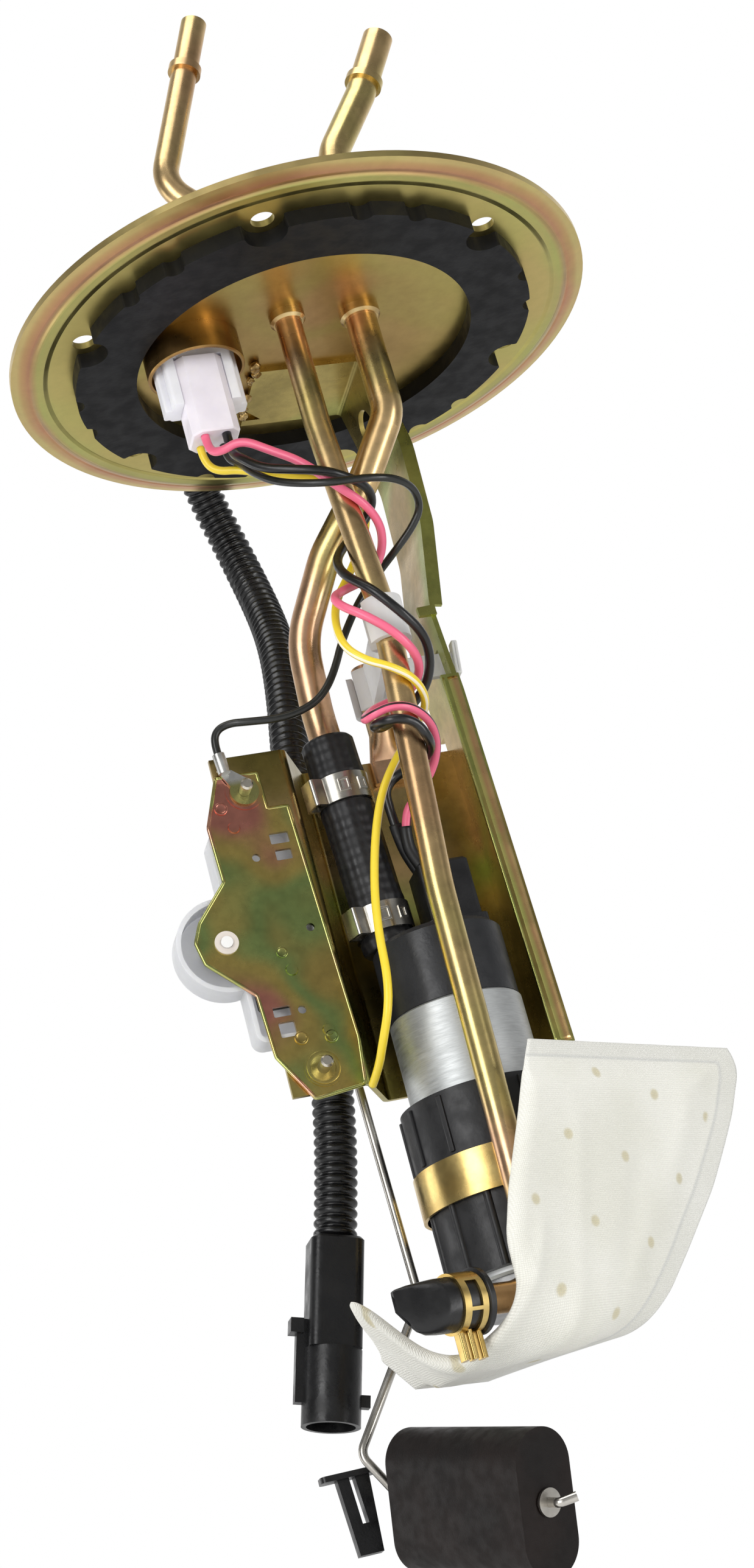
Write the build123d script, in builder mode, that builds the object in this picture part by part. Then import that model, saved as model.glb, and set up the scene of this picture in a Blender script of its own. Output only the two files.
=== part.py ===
"""Fuel pump module: a tank flange that carries the pump, its tubes, the level sender and the strainer.

Millimetres. The origin is the centre of the flange on its underside, which seats on the tank.
+Z is up, out of the tank. -Y is the side of the sender plate. The module hangs down from the flange.
"""
import os
from math import radians, tan

from build123d import *

os.makedirs("parts", exist_ok=True)

# ---- flange, gasket and tank connector -------------------------------------------------------
flange_radius = 89.0
flange_thickness = 2.0
rim_band = 6.4  # conical band along the edge
rim_rise = 1.4
bolt_count = 6
bolt_circle_radius = 70.0
bolt_hole_radius = 3.5
bolt_start_angle = 11.0
gasket_inner_radius = 52.0
gasket_outer_radius = 70.5
gasket_thickness = 4.8
gasket_bolt_relief = 6.2
gasket_notch_radius = 3.2
gasket_notch_spread = 7.0  # degrees each side of the middle between two bolts
cup_x, cup_y = -35.5, -4.5
cup_radius = 14.75
cup_depth = 9.5
cup_wall = 1.0
socket_width, socket_depth_y = 21.0, 9.5
socket_drop = 22.0
plug_width, plug_depth_y = 14.5, 13.0
plug_drop = 33.0
plug_chamfer = 2.4
boot_radius = 11.0
boot_height = 17.0
boot_wall = 1.6

# ---- tubes ------------------------------------------------------------------------------------
supply_radius = 4.76
supply_bore = 3.9
return_radius = 3.97
return_bore = 3.2
nipple_bead_rise = 1.1
nipple_bead_width = 2.6
nipple_bead_back = 19.0  # from the nipple's tip
weld_collar_rise = 1.4
weld_collar_height = 3.2
seat_gap = 0.05  # between a tube and the hole it is brazed into

# ---- bracket ----------------------------------------------------------------------------------
sheet = 1.5
wall_x = 25.5  # outer face of the side wall
wall_front_y = 12.0
wall_back_top_y = 43.0
lip_width = 5.5
ear_y = 16.2  # front face of the ears
ear_left_x = -56.0
joggle_left_x = -34.0
joggle_right_x = -25.0
web_top_z = -125.0
web_bottom_z = -228.0
window_top_z = -144.0
window_bottom_z = -215.0
foot_left_x = -13.0
foot_front_y = 6.0
wall_hole_radius = 6.0
tongue_bottom_z = -282.0

# ---- pump -------------------------------------------------------------------------------------
pump_x, pump_y = -5.5, 14.0
can_radius = 19.0
can_wall = 1.0
can_top_z = -213.0
can_bottom_z = -291.0
cap_height = 22.0
cap_radius = 18.6
inlet_height = 7.0
inlet_radius = 17.5
inlet_nipple_radius = 5.5
outlet_dx, outlet_dy = -12.1, 4.0
outlet_radius = 4.4
outlet_bore = 3.0
shaft_radius = 1.6
shaft_play = 0.06
core_radius = 12.4
core_slots = 10
magnet_inner_radius = 13.4
impeller_radius = 15.0
impeller_thickness = 3.0
impeller_vanes = 24
sleeve_radius = 22.6
sleeve_top_z = -239.0
sleeve_bottom_z = -289.0
sleeve_ribs = 12
sleeve_seat = 0.2  # between the sleeve and the web
strap_top_z = -257.0
strap_height = 12.0
strap_thickness = 1.0
connector_width, connector_depth = 15.0, 13.0
connector_top_z = -170.0

# ---- hose and clamps --------------------------------------------------------------------------
hose_radius = 7.8
hose_top = (-20.1, 18.0, -124.5)
hose_seat = 0.3  # between the hose's end and the pump's cap
hose_overlap = 14.0
clamp_width = 8.0
clamp_thickness = 0.8
upper_clamp_down = 17.0
lower_clamp_up = 8.5

# ---- sender -----------------------------------------------------------------------------------
plate_thickness = 1.2
pivot_x, pivot_z = -64.0, -181.0
bush_radius = 2.9
pivot_pin_radius = 1.7
housing_depth = 9.0
housing_wall = 1.4
rod_radius = 1.25
rod_y = 29.4
stud_radius = 1.8
stud_reach = 6.5
float_length = 51.0
float_height = 37.0
float_width = 18.0
float_bore_play = 0.10

# ---- strainer and check valve ----------------------------------------------------------------
sock_thickness = 6.0
valve_z = -300.0
valve_radius = 7.0
valve_length = 25.0
valve_collar_radius = 8.6


web_y = pump_y + sleeve_radius + sleeve_seat  # front face of the rear web
outlet = (pump_x + outlet_dx, pump_y + outlet_dy)
cap_top_z = can_top_z + cap_height
hose_bottom = (outlet[0], outlet[1], cap_top_z + hose_seat)
hose_line = Vector(*hose_bottom) - Vector(*hose_top)
hose_length = hose_line.length
hose_plane = Plane(origin=hose_top, x_dir=(1, 0, 0), z_dir=hose_line)


def along_hose(distance):
    point = Vector(*hose_top) + hose_line.normalized() * distance
    return point.X, point.Y, point.Z


def front_plane(y):
    """A drawing plane that faces -Y: local x is X, local y is Z."""
    return Plane(origin=(0, y, 0), x_dir=(1, 0, 0), z_dir=(0, -1, 0))


def across(start, end):
    """A plane at start, square to the line from start to end."""
    return Plane(origin=start, z_dir=(Vector(*end) - Vector(*start)).normalized())


def bend_radii(points, share=0.45):
    """The radius at each corner of a route: as large as the two runs beside it allow."""
    radii = []
    for before, corner, after in zip(points, points[1:], points[2:]):
        run_in = Vector(*corner) - Vector(*before)
        run_out = Vector(*after) - Vector(*corner)
        half_turn = radians(run_in.get_angle(run_out)) / 2
        radii.append(share * min(run_in.length, run_out.length) / tan(half_turn))
    return radii


def finish(piece, label):
    piece.part.label = label
    export_step(piece.part, f"parts/{label}.step")


# ---- flange -----------------------------------------------------------------------------------
supply_route = [(47.5, -14.0, 99.5), (36.0, -14.0, 78.0), (22.5, -14.0, 58.0), (15.5, -14.0, 32.0),
                (15.5, -14.0, -8.0), (16.2, -12.5, -35.0), (6.0, -5.5, -52.0), (-9.0, 6.5, -70.0),
                (-20.0, 15.5, -92.0), along_hose(-10.0), along_hose(hose_overlap)]
return_route = [(-10.8, -16.0, 109.0), (-34.0, -16.0, 50.0), (-7.5, -16.0, 24.0), (-7.5, -16.0, -7.0),
                (-7.0, -15.0, -38.0), (-3.2, -15.0, -103.0), (-8.9, -14.0, -185.0),
                (-10.6, -14.0, valve_z), (-36.0, -22.7, valve_z)]
tube_holes = [(supply_route[4], supply_radius), (return_route[3], return_radius)]
rim_inner = flange_radius - rim_band
bolt_spots = PolarLocations(bolt_circle_radius, bolt_count, start_angle=bolt_start_angle)

with BuildPart() as flange_plate:
    with BuildSketch(Plane.XZ):
        with BuildLine():
            Polyline((0, 0), (rim_inner, 0), (flange_radius, rim_rise),
                     (flange_radius, rim_rise + flange_thickness), (rim_inner, flange_thickness),
                     (0, flange_thickness), close=True)
        make_face()
    revolve(axis=Axis.Z)
    with BuildSketch() as bores:
        with bolt_spots:
            Circle(bolt_hole_radius)
        for spot, radius in tube_holes:
            with Locations((spot[0], spot[1])):
                Circle(radius + seat_gap)
        with Locations((cup_x, cup_y)):
            Rectangle(socket_width + 2 * seat_gap, socket_depth_y + 2 * seat_gap)
    extrude(amount=flange_thickness, mode=Mode.SUBTRACT)
finish(flange_plate, "flange_plate")

with BuildPart() as flange_gasket:
    with BuildSketch(Plane.XY.offset(-gasket_thickness)):
        Circle(gasket_outer_radius)
        Circle(gasket_inner_radius, mode=Mode.SUBTRACT)
        with bolt_spots:
            Circle(gasket_bolt_relief, mode=Mode.SUBTRACT)
        for side in (-1, 1):
            middle = bolt_start_angle + 180 / bolt_count + side * gasket_notch_spread
            with PolarLocations(gasket_outer_radius + 1.0, bolt_count, start_angle=middle):
                Circle(gasket_notch_radius, mode=Mode.SUBTRACT)
    extrude(amount=gasket_thickness)
    fillet(flange_gasket.edges().filter_by(Axis.Z), 0.8)
finish(flange_gasket, "flange_gasket")

# ---- tank connector ---------------------------------------------------------------------------
with BuildPart() as connector_cup:
    with BuildSketch(Plane.XY.offset(-cup_depth)):
        with Locations((cup_x, cup_y)):
            Circle(cup_radius)
            Circle(cup_radius - cup_wall, mode=Mode.SUBTRACT)
    extrude(amount=cup_depth)
    mouth = connector_cup.faces().sort_by(Axis.Z)[0]
    chamfer(mouth.edges().sort_by(SortBy.LENGTH)[-1], 0.35)
finish(connector_cup, "connector_cup")

socket_top = 4.0
wing_width, wing_depth = 25.0, 5.0
with BuildPart() as tank_connector:
    with BuildSketch(Plane.XY.offset(-socket_drop)):
        with Locations((cup_x, cup_y)):
            RectangleRounded(socket_width, socket_depth_y, 1.0)
    extrude(amount=socket_drop + socket_top + flange_thickness)
    with BuildSketch(Plane.XY.offset(-socket_drop)):
        with Locations((cup_x, cup_y + 1.5)):
            RectangleRounded(wing_width, wing_depth, 0.8)
    extrude(amount=socket_drop - 3.0)
    with BuildSketch(Plane.XY.offset(-socket_drop)):
        with Locations((cup_x, cup_y)):
            Rectangle(plug_width + 2 * seat_gap, plug_depth_y + 2 * seat_gap)
    extrude(amount=socket_drop - 6.0, mode=Mode.SUBTRACT)
    chamfer(tank_connector.faces().sort_by(Axis.Z)[-1].edges(), 0.6)
finish(tank_connector, "tank_connector")

with BuildPart() as wire_plug:
    with BuildSketch(Plane.XY.offset(-plug_drop)):
        with Locations((cup_x, cup_y)):
            Rectangle(plug_width, plug_depth_y)
    extrude(amount=plug_drop - 7.0)
    chamfer(wire_plug.edges().filter_by(Axis.Z), plug_chamfer)
    chamfer(wire_plug.faces().sort_by(Axis.Z)[0].edges(), 0.5)
finish(wire_plug, "wire_plug")

# The boot covers the connector's top and turns the conduit towards the far rim.
conduit_radius = 6.2
conduit_route = [(-35.5, 9.0, 13.5), (-34.0, 28.0, 20.0), (-29.0, 54.0, 33.5), (-22.5, 81.0, 30.0),
                 (-15.5, 102.5, 12.5), (-6.5, 111.0, -13.0), (-4.5, 103.0, -38.5), (-7.6, 88.0, -59.0),
                 (-12.6, 75.0, -82.0), (-20.7, 61.0, -113.5), (-26.2, 53.0, -147.8),
                 (-32.0, 49.0, -187.0), (-37.0, 47.5, -221.0), (-42.0, 47.0, -244.0),
                 (-47.0, 47.0, -262.0)]
boot_heading = (Vector(*conduit_route[1]) - Vector(*conduit_route[0])).normalized()
boot_play = 0.3
with BuildPart() as conduit_boot:
    with BuildSketch(Plane.XY.offset(flange_thickness)):
        with Locations((cup_x, cup_y)):
            Circle(boot_radius + 3.5)
    extrude(amount=boot_height)
    chamfer(conduit_boot.faces().sort_by(Axis.Z)[-1].edges(), 2.4)
    with BuildSketch(Plane(origin=Vector(*conduit_route[0]) - boot_heading * 5.0, z_dir=boot_heading)):
        Circle(conduit_radius + boot_wall)
    extrude(amount=10.0)
    with BuildSketch(Plane(origin=conduit_route[0], z_dir=boot_heading)):
        Circle(conduit_radius + boot_play)
    extrude(amount=10.0, mode=Mode.SUBTRACT)
    with BuildSketch(Plane.XY.offset(flange_thickness)):
        with Locations((cup_x, cup_y)):
            Rectangle(socket_width + 0.6, socket_depth_y + 0.6)
    extrude(amount=socket_top + 0.6, mode=Mode.SUBTRACT)
finish(conduit_boot, "conduit_boot")


def bent_tube(route, outer, inner, radii):
    """A bent tube as one solid: a ring swept along the route."""
    with BuildPart() as tube:
        with BuildLine() as path:
            FilletPolyline(*route, radius=radii)
        with BuildSketch(across(route[0], route[1])):
            Circle(outer)
            Circle(inner, mode=Mode.SUBTRACT)
        sweep(path=path.line)
        # barb near the tip of the nipple
        tip, heading = Vector(*route[0]), Vector(*route[1]) - Vector(*route[0])
        barb = tip + heading.normalized() * nipple_bead_back
        with BuildSketch(Plane(origin=barb, z_dir=heading)):
            Circle(outer + nipple_bead_rise)
            Circle(inner, mode=Mode.SUBTRACT)
        extrude(amount=nipple_bead_width / 2, both=True)
    return tube


supply_tube = bent_tube(supply_route, supply_radius, supply_bore, [14, 16, 30, 60, 12, 40, 30, 30, 60])
finish(supply_tube, "supply_tube")
return_tube = bent_tube(return_route, return_radius, return_bore, [11, 12, 25, 60, 120, 120, 12])
finish(return_tube, "return_tube")

for name, spot, radius in (("supply_collar", supply_route[4], supply_radius),
                           ("return_collar", return_route[3], return_radius)):
    with BuildPart() as collar:
        with BuildSketch(Plane.XY.offset(-weld_collar_height)):
            with Locations((spot[0], spot[1])):
                Circle(radius + weld_collar_rise)
                Circle(radius + seat_gap, mode=Mode.SUBTRACT)
        extrude(amount=weld_collar_height)
        lower = collar.faces().sort_by(Axis.Z)[0].edges().sort_by(SortBy.LENGTH)[-1]
        chamfer(lower, 0.8)
    finish(collar, name)

# ---- bracket: foot, side wall, rear web, ears and tongue in one folded sheet ------------------
half = sheet / 2
wall_line = [(foot_left_x, -half), (20.5, -half), (wall_x + 0.8, -32.0), (wall_x, -60.0),
             (20.8, -88.0), (22.4, -116.0), (wall_x - half, web_bottom_z)]
wall_bends = [2.2, 30, 25, 25, 60]
clip_gap_top_z, clip_gap_bottom_z = -91.0, -111.0
clip_slot_y, clip_slot_z = 21.0, -104.0
ear_mid = ear_y + half
web_mid = web_y + half
web_right_x = 24.0
tongue_half_width = 10.0

with BuildPart() as bracket:
    # foot and side wall
    with BuildSketch(front_plane(wall_back_top_y)) as wall_profile:
        with BuildLine() as wall_path:
            FilletPolyline(*wall_line, radius=wall_bends)
        trace(wall_path.line, line_width=sheet)
    extrude(amount=wall_back_top_y - wall_front_y)
    # the wall narrows to the web's depth below the web's top edge
    with Locations((wall_x, (wall_back_top_y + web_y + sheet) / 2 + 5, web_bottom_z / 2 + web_top_z / 2)):
        Box(20, wall_back_top_y - web_y - sheet + 10, web_top_z - web_bottom_z + 10, mode=Mode.SUBTRACT)
    # stiffening lip along the wall's front edge: outward above, inward beside the web
    with BuildSketch(front_plane(wall_front_y + sheet)):
        with BuildLine() as lip_path:
            FilletPolyline(*[(x - lip_width / 2 + half, z) for x, z in wall_line[4:]], radius=[60])
        trace(lip_path.line, line_width=lip_width)
    extrude(amount=sheet)
    with BuildSketch(front_plane(wall_front_y + sheet)):
        with BuildLine() as upper_lip_path:
            FilletPolyline(*[(x + 1.6, z) for x, z in wall_line[1:5]], radius=[30, 25])
        trace(upper_lip_path.line, line_width=3.4)
    extrude(amount=sheet)
    # the lip is cut away where the tube clip's barb passes through the wall
    with Locations((wall_x - 5, wall_front_y - 0.5, (clip_gap_top_z + clip_gap_bottom_z) / 2)):
        Box(30, 4, clip_gap_top_z - clip_gap_bottom_z, align=(Align.CENTER, Align.CENTER, Align.CENTER),
            mode=Mode.SUBTRACT)
    with Locations((wall_x - 5, clip_slot_y, clip_slot_z)):
        Box(20, 5.4, 8.4, mode=Mode.SUBTRACT)
    # foot outline: rounded corners, welded along its left edge
    with BuildSketch(Plane.XY.offset(-sheet)) as foot_trim:
        Rectangle(60, 80, align=(Align.MAX, Align.CENTER))
        with BuildLine():
            Polyline((12.0, 12.0), (2.0, foot_front_y), (foot_left_x + 3, 8.0), (foot_left_x, 13.0),
                     (foot_left_x, 34.0), (foot_left_x + 8, 42.0), (12.0, wall_back_top_y), close=True)
        make_face(mode=Mode.SUBTRACT)
        with Locations((12.0, 0)):
            Rectangle(30, 120, align=(Align.MIN, Align.CENTER), mode=Mode.SUBTRACT)
    extrude(amount=sheet, mode=Mode.SUBTRACT)
    # rear web with the slanted step that brings the ears forward
    with BuildSketch(Plane.XY.offset(web_bottom_z)):
        with BuildLine() as web_path:
            FilletPolyline((ear_left_x, ear_mid), (joggle_left_x, ear_mid), (joggle_right_x, web_mid),
                           (web_right_x, web_mid), radius=2.2)
        trace(web_path.line, line_width=sheet)
    extrude(amount=web_top_z - web_bottom_z)
    # window between the two ears, behind the sender plate
    with BuildSketch(front_plane(ear_y + 3 * sheet)):
        with BuildLine():
            Polyline((ear_left_x - 1, window_top_z), (joggle_left_x - 2.5, window_top_z),
                     (joggle_left_x - 1.5, window_bottom_z), (ear_left_x - 1, window_bottom_z), close=True)
        make_face()
    extrude(amount=5 * sheet, mode=Mode.SUBTRACT)
    # tongue behind the pump's sleeve
    with BuildSketch(front_plane(web_y + sheet)):
        with Locations((pump_x, web_bottom_z + 2)):
            Rectangle(2 * tongue_half_width, web_bottom_z + 2 - tongue_bottom_z,
                      align=(Align.CENTER, Align.MAX))
    extrude(amount=sheet)
    # cleared hole near the top of the wall
    with BuildSketch(Plane(origin=(wall_x + 8, 0, 0), x_dir=(0, 1, 0), z_dir=(1, 0, 0))):
        with Locations((29.0, -16.0)):
            Circle(wall_hole_radius)
    extrude(amount=-16, mode=Mode.SUBTRACT)
    # stud holes in the ears
    with BuildSketch(front_plane(ear_y + sheet)):
        with Locations((-48.5, -137.0), (-46.0, -221.5)):
            Circle(stud_radius + seat_gap)
    extrude(amount=sheet, mode=Mode.SUBTRACT)
finish(bracket, "bracket")

# A flattened stub of tube is welded to the top of the web and holds the clip's rear arm.
brace_x, brace_y, brace_top_z = 1.5, web_y - return_radius - seat_gap, -96.0
brace_flat_z = web_top_z - 1.0
with BuildPart() as brace_tube:
    with BuildSketch(Plane.XY.offset(brace_top_z)):
        with Locations((brace_x, brace_y)):
            Circle(return_radius)
    with BuildSketch(Plane.XY.offset(brace_flat_z + 8.0)):
        with Locations((brace_x, brace_y)):
            Circle(return_radius)
    with BuildSketch(Plane.XY.offset(brace_flat_z)):
        with Locations((brace_x, web_y - 1.6)):
            RectangleRounded(10.5, 3.0, 1.2)
    loft(ruled=True)
    with BuildSketch(Plane.XY.offset(brace_flat_z)):
        with Locations((brace_x, web_y - 1.6)):
            RectangleRounded(10.5, 3.0, 1.2)
    extrude(amount=-7.0)
finish(brace_tube, "brace_tube")

# ---- fuel hose and its two ear clamps ---------------------------------------------------------
with BuildPart() as fuel_hose:
    with BuildSketch(hose_plane):
        Circle(hose_radius)
        Circle(supply_radius + 0.3, mode=Mode.SUBTRACT)
    extrude(amount=hose_length)
    chamfer(fuel_hose.edges().filter_by(GeomType.CIRCLE).group_by(SortBy.LENGTH)[-1], 0.6)
finish(fuel_hose, "fuel_hose")

for name, down, ear_angle in (("upper_hose_clamp", upper_clamp_down, 160),
                              ("lower_hose_clamp", hose_length - lower_clamp_up, 155)):
    band = hose_plane.offset(down - clamp_width / 2)
    outer = hose_radius + 0.05 + clamp_thickness
    with BuildPart() as clamp:
        with BuildSketch(band):
            Circle(outer)
            with PolarLocations(outer + 0.9, 1, start_angle=ear_angle):
                RectangleRounded(5.0, 6.4, 1.0)
            Circle(hose_radius + 0.05, mode=Mode.SUBTRACT)
            with PolarLocations(outer + 0.9, 1, start_angle=ear_angle):
                RectangleRounded(3.2, 4.6, 0.6, mode=Mode.SUBTRACT)
        extrude(amount=clamp_width)
    finish(clamp, name)

# ---- pump -------------------------------------------------------------------------------------
can_bore = can_radius - can_wall
spigot = can_bore - 0.02
spigot_z = can_top_z - 6.0
chamber_top_z, chamber_z = -275.0, -280.0
impeller_top_z = chamber_z - 0.3
impeller_z = impeller_top_z - impeller_thickness
pump_spot = Location((pump_x, pump_y, 0))
outlet_spot = Location((outlet[0], outlet[1], 0))
shaft_bore = shaft_radius + shaft_play

with BuildPart() as pump_can:
    with BuildSketch(Plane.XY.offset(can_bottom_z)):
        with Locations(pump_spot):
            Circle(can_radius)
            Circle(can_bore, mode=Mode.SUBTRACT)
    extrude(amount=can_top_z - can_bottom_z)
    rims = pump_can.edges().filter_by(GeomType.CIRCLE).group_by(SortBy.LENGTH)[-1]
    chamfer(rims, 0.7)
finish(pump_can, "pump_can")

with BuildPart() as pump_top_cap:
    with BuildSketch(Plane.XY.offset(can_top_z)):
        with Locations(pump_spot):
            Circle(cap_radius)
    extrude(amount=cap_height)
    chamfer(pump_top_cap.faces().sort_by(Axis.Z)[-1].edges(), 1.6)
    with BuildSketch(Plane.XY.offset(spigot_z)):
        with Locations(pump_spot):
            Circle(spigot)
    extrude(amount=can_top_z - spigot_z)
    with BuildSketch(Plane.XY.offset(cap_top_z - 1.0)):
        with Locations(outlet_spot):
            Circle(outlet_radius)
    extrude(amount=hose_overlap + 1.0)
    # the nipple stands in a turned relief, so that the hose can seat on the cap
    with BuildSketch(Plane.XY.offset(spigot_z)):
        with Locations(outlet_spot):
            Circle(outlet_bore)
    extrude(amount=60, mode=Mode.SUBTRACT)
    with BuildSketch(Plane.XY.offset(spigot_z)):
        with Locations(pump_spot):
            Circle(shaft_bore)
    extrude(amount=8.0, mode=Mode.SUBTRACT)
finish(pump_top_cap, "pump_top_cap")

magnet_top_z, magnet_bottom_z = -226.0, -264.0
with BuildPart() as pump_magnets:
    with BuildSketch(Plane.XY.offset(magnet_bottom_z)):
        with Locations(pump_spot):
            Circle(spigot)
            Circle(magnet_inner_radius, mode=Mode.SUBTRACT)
            Rectangle(9.0, 2 * can_radius, mode=Mode.SUBTRACT)
    extrude(amount=magnet_top_z - magnet_bottom_z)
finish(pump_magnets, "pump_magnets")

with BuildPart() as pump_armature:
    with BuildSketch(Plane.XY.offset(impeller_z - 0.2)):
        with Locations(pump_spot):
            Circle(shaft_radius)
    extrude(amount=spigot_z + 7.0 - impeller_z + 0.2)
    with BuildSketch(Plane.XY.offset(magnet_bottom_z + 1.0)):
        with Locations(pump_spot):
            Circle(core_radius)
            with PolarLocations(core_radius - 1.2, core_slots):
                Rectangle(6.4, 2.0, mode=Mode.SUBTRACT)
    extrude(amount=magnet_top_z - magnet_bottom_z - 2.0)
    with BuildSketch(Plane.XY.offset(magnet_top_z - 1.0)):
        with Locations(pump_spot):
            Circle(7.0)
    extrude(amount=5.0)
finish(pump_armature, "pump_armature")

with BuildPart() as pump_impeller:
    with BuildSketch(Plane.XY.offset(impeller_z)):
        with Locations(pump_spot):
            Circle(impeller_radius)
            Circle(shaft_radius, mode=Mode.SUBTRACT)
            with PolarLocations(impeller_radius, impeller_vanes):
                Rectangle(4.6, 2.4, mode=Mode.SUBTRACT)
    extrude(amount=impeller_thickness)
finish(pump_impeller, "pump_impeller")

with BuildPart() as pump_chamber:
    with BuildSketch(Plane.XY.offset(chamber_z)):
        with Locations(pump_spot):
            Circle(spigot)
            Circle(shaft_bore, mode=Mode.SUBTRACT)
            with Locations((9.5, 0)):
                Circle(2.0, mode=Mode.SUBTRACT)
    extrude(amount=chamber_top_z - chamber_z)
    with BuildSketch(Plane.XY.offset(impeller_z - 0.3)):
        with Locations(pump_spot):
            Circle(spigot)
            Circle(impeller_radius + 0.3, mode=Mode.SUBTRACT)
    extrude(amount=chamber_z - impeller_z + 0.3)
finish(pump_chamber, "pump_chamber")

inlet_top_z = impeller_z - 0.3
inlet_bottom_z = can_bottom_z - inlet_height
nipple_bottom_z = inlet_bottom_z - 8.0
with BuildPart() as pump_inlet_cap:
    with BuildSketch(Plane.XY.offset(can_bottom_z)):
        with Locations(pump_spot):
            Circle(spigot)
    extrude(amount=inlet_top_z - can_bottom_z)
    with BuildSketch(Plane.XY.offset(inlet_bottom_z)):
        with Locations(pump_spot):
            Circle(inlet_radius)
    extrude(amount=inlet_height)
    chamfer(pump_inlet_cap.faces().sort_by(Axis.Z)[0].edges(), 1.0)
    with BuildSketch(Plane.XY.offset(nipple_bottom_z)):
        with Locations(pump_spot):
            Circle(inlet_nipple_radius)
    extrude(amount=inlet_bottom_z - nipple_bottom_z)
    with BuildSketch(Plane.XY.offset(nipple_bottom_z)):
        with Locations(pump_spot):
            Circle(inlet_nipple_radius - 1.3)
    extrude(amount=nipple_bottom_z * -1 + inlet_top_z, mode=Mode.SUBTRACT)
finish(pump_inlet_cap, "pump_inlet_cap")

with BuildPart() as pump_sleeve:
    with BuildSketch(Plane.XY.offset(sleeve_bottom_z)):
        with Locations(pump_spot):
            Circle(sleeve_radius - 0.8)
            with PolarLocations(sleeve_radius - 1.2, sleeve_ribs):
                Circle(1.2)
            Circle(can_radius + 0.05, mode=Mode.SUBTRACT)
    extrude(amount=sleeve_top_z - sleeve_bottom_z)
    with BuildSketch(Plane.XY.offset(strap_top_z)):
        with Locations(pump_spot):
            Circle(sleeve_radius)
            Circle(can_radius + 0.05, mode=Mode.SUBTRACT)
    extrude(amount=sleeve_top_z - strap_top_z)
finish(pump_sleeve, "pump_sleeve")

# One band holds the sleeve against the tongue, so it goes round both of them.
with BuildPart() as pump_strap:
    with BuildSketch(Plane.XY.offset(strap_top_z - strap_height)):
        with BuildSketch(mode=Mode.PRIVATE) as held:
            with Locations((pump_x, pump_y)):
                Circle(sleeve_radius + 0.05)
            with Locations((pump_x, web_y + sheet + 0.05)):
                Rectangle(2 * tongue_half_width + 0.1, sheet, align=(Align.CENTER, Align.MAX))
            make_hull()
        add(held.sketch)
        offset(amount=strap_thickness)
        add(held.sketch, mode=Mode.SUBTRACT)
    extrude(amount=strap_height)
finish(pump_strap, "pump_strap")

terminal_x, terminal_y = pump_x + 6.0, pump_y - 1.0
block_top_z = cap_top_z + 3.0
with BuildPart() as pump_terminal_block:
    with BuildSketch(Plane.XY.offset(cap_top_z)):
        with Locations((terminal_x, terminal_y)):
            RectangleRounded(connector_width + 3.0, connector_depth + 2.0, 2.0)
    extrude(amount=block_top_z - cap_top_z)
    with BuildSketch(Plane.XY.offset(block_top_z)):
        with GridLocations(6.0, 0, 2, 1):
            with Locations((terminal_x, terminal_y)):
                Rectangle(0.8, 6.3)
    extrude(amount=7.0)
finish(pump_terminal_block, "pump_terminal_block")

with BuildPart() as pump_plug:
    with BuildSketch(Plane.XY.offset(block_top_z)):
        with Locations((terminal_x, terminal_y)):
            RectangleRounded(connector_width, connector_depth, 1.2)
    extrude(amount=connector_top_z - block_top_z)
    chamfer(pump_plug.faces().sort_by(Axis.Z)[-1].edges(), 0.8)
    # latch arm on the front face
    with BuildSketch(Plane.XY.offset(block_top_z + 5.0)):
        with Locations((terminal_x - 3.0, terminal_y - connector_depth / 2 - 1.1)):
            Rectangle(4.0, 2.4)
    extrude(amount=12.0)
    with BuildSketch(Plane.XY.offset(block_top_z)):
        with GridLocations(6.0, 0, 2, 1):
            with Locations((terminal_x, terminal_y)):
                Rectangle(1.0, 6.5)
    extrude(amount=8.0, mode=Mode.SUBTRACT)
finish(pump_plug, "pump_plug")

# ---- sender -----------------------------------------------------------------------------------
plate_front_y = ear_y - plate_thickness
plate_outline = [(-55.5, -131.5), (-43.5, -131.5), (-43.0, -143.0), (-37.0, -143.0), (-34.0, -214.5),
                 (-35.5, -228.0), (-50.0, -229.5), (-58.0, -216.0), (-59.0, -197.5), (-71.0, -186.0),
                 (-72.4, -179.5), (-70.0, -174.0), (-60.4, -163.0), (-61.0, -146.0)]
ground_stud = (-48.5, -137.0)
lower_stud = (-46.0, -221.5)
dimples = [(-53.9, -147.3), (-47.8, -192.0), (-41.8, -211.0)]
card_windows = [(-41.7, -152.4, 5.6, 3.4), (-41.6, -157.6, 4.8, 3.2),
                (-53.4, -203.4, 5.0, 3.0), (-53.0, -208.8, 4.6, 4.4)]
plate_holes = [(-49.7, -157.3), (-39.5, -180.5), (-47.7, -203.9)]
bush_bore = pivot_pin_radius + 0.06
with BuildPart() as sender_plate:
    with BuildSketch(front_plane(ear_y)) as plate_face:
        with BuildLine():
            Polyline(*plate_outline, close=True)
        make_face()
        fillet(plate_face.vertices(), 1.2)
        for x, z, wide, high in card_windows:
            with Locations((x, z)):
                RectangleRounded(wide, high, 0.4, mode=Mode.SUBTRACT)
        with Locations(*plate_holes):
            Circle(1.2, mode=Mode.SUBTRACT)
        with Locations(ground_stud, lower_stud):
            Circle(stud_radius + seat_gap, mode=Mode.SUBTRACT)
        with Locations((pivot_x, pivot_z)):
            Circle(bush_radius, mode=Mode.SUBTRACT)
    extrude(amount=plate_thickness)
    # pressed dimples that stiffen the plate
    with BuildSketch(front_plane(plate_front_y + 0.2)):
        with Locations(*dimples):
            Circle(1.9)
    extrude(amount=0.7, taper=25)
    with BuildSketch(front_plane(plate_front_y + 0.2)):
        with Locations(ground_stud, lower_stud):
            Circle(5.4)
            Circle(stud_radius + seat_gap, mode=Mode.SUBTRACT)
    extrude(amount=0.55)
finish(sender_plate, "sender_plate")

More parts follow.
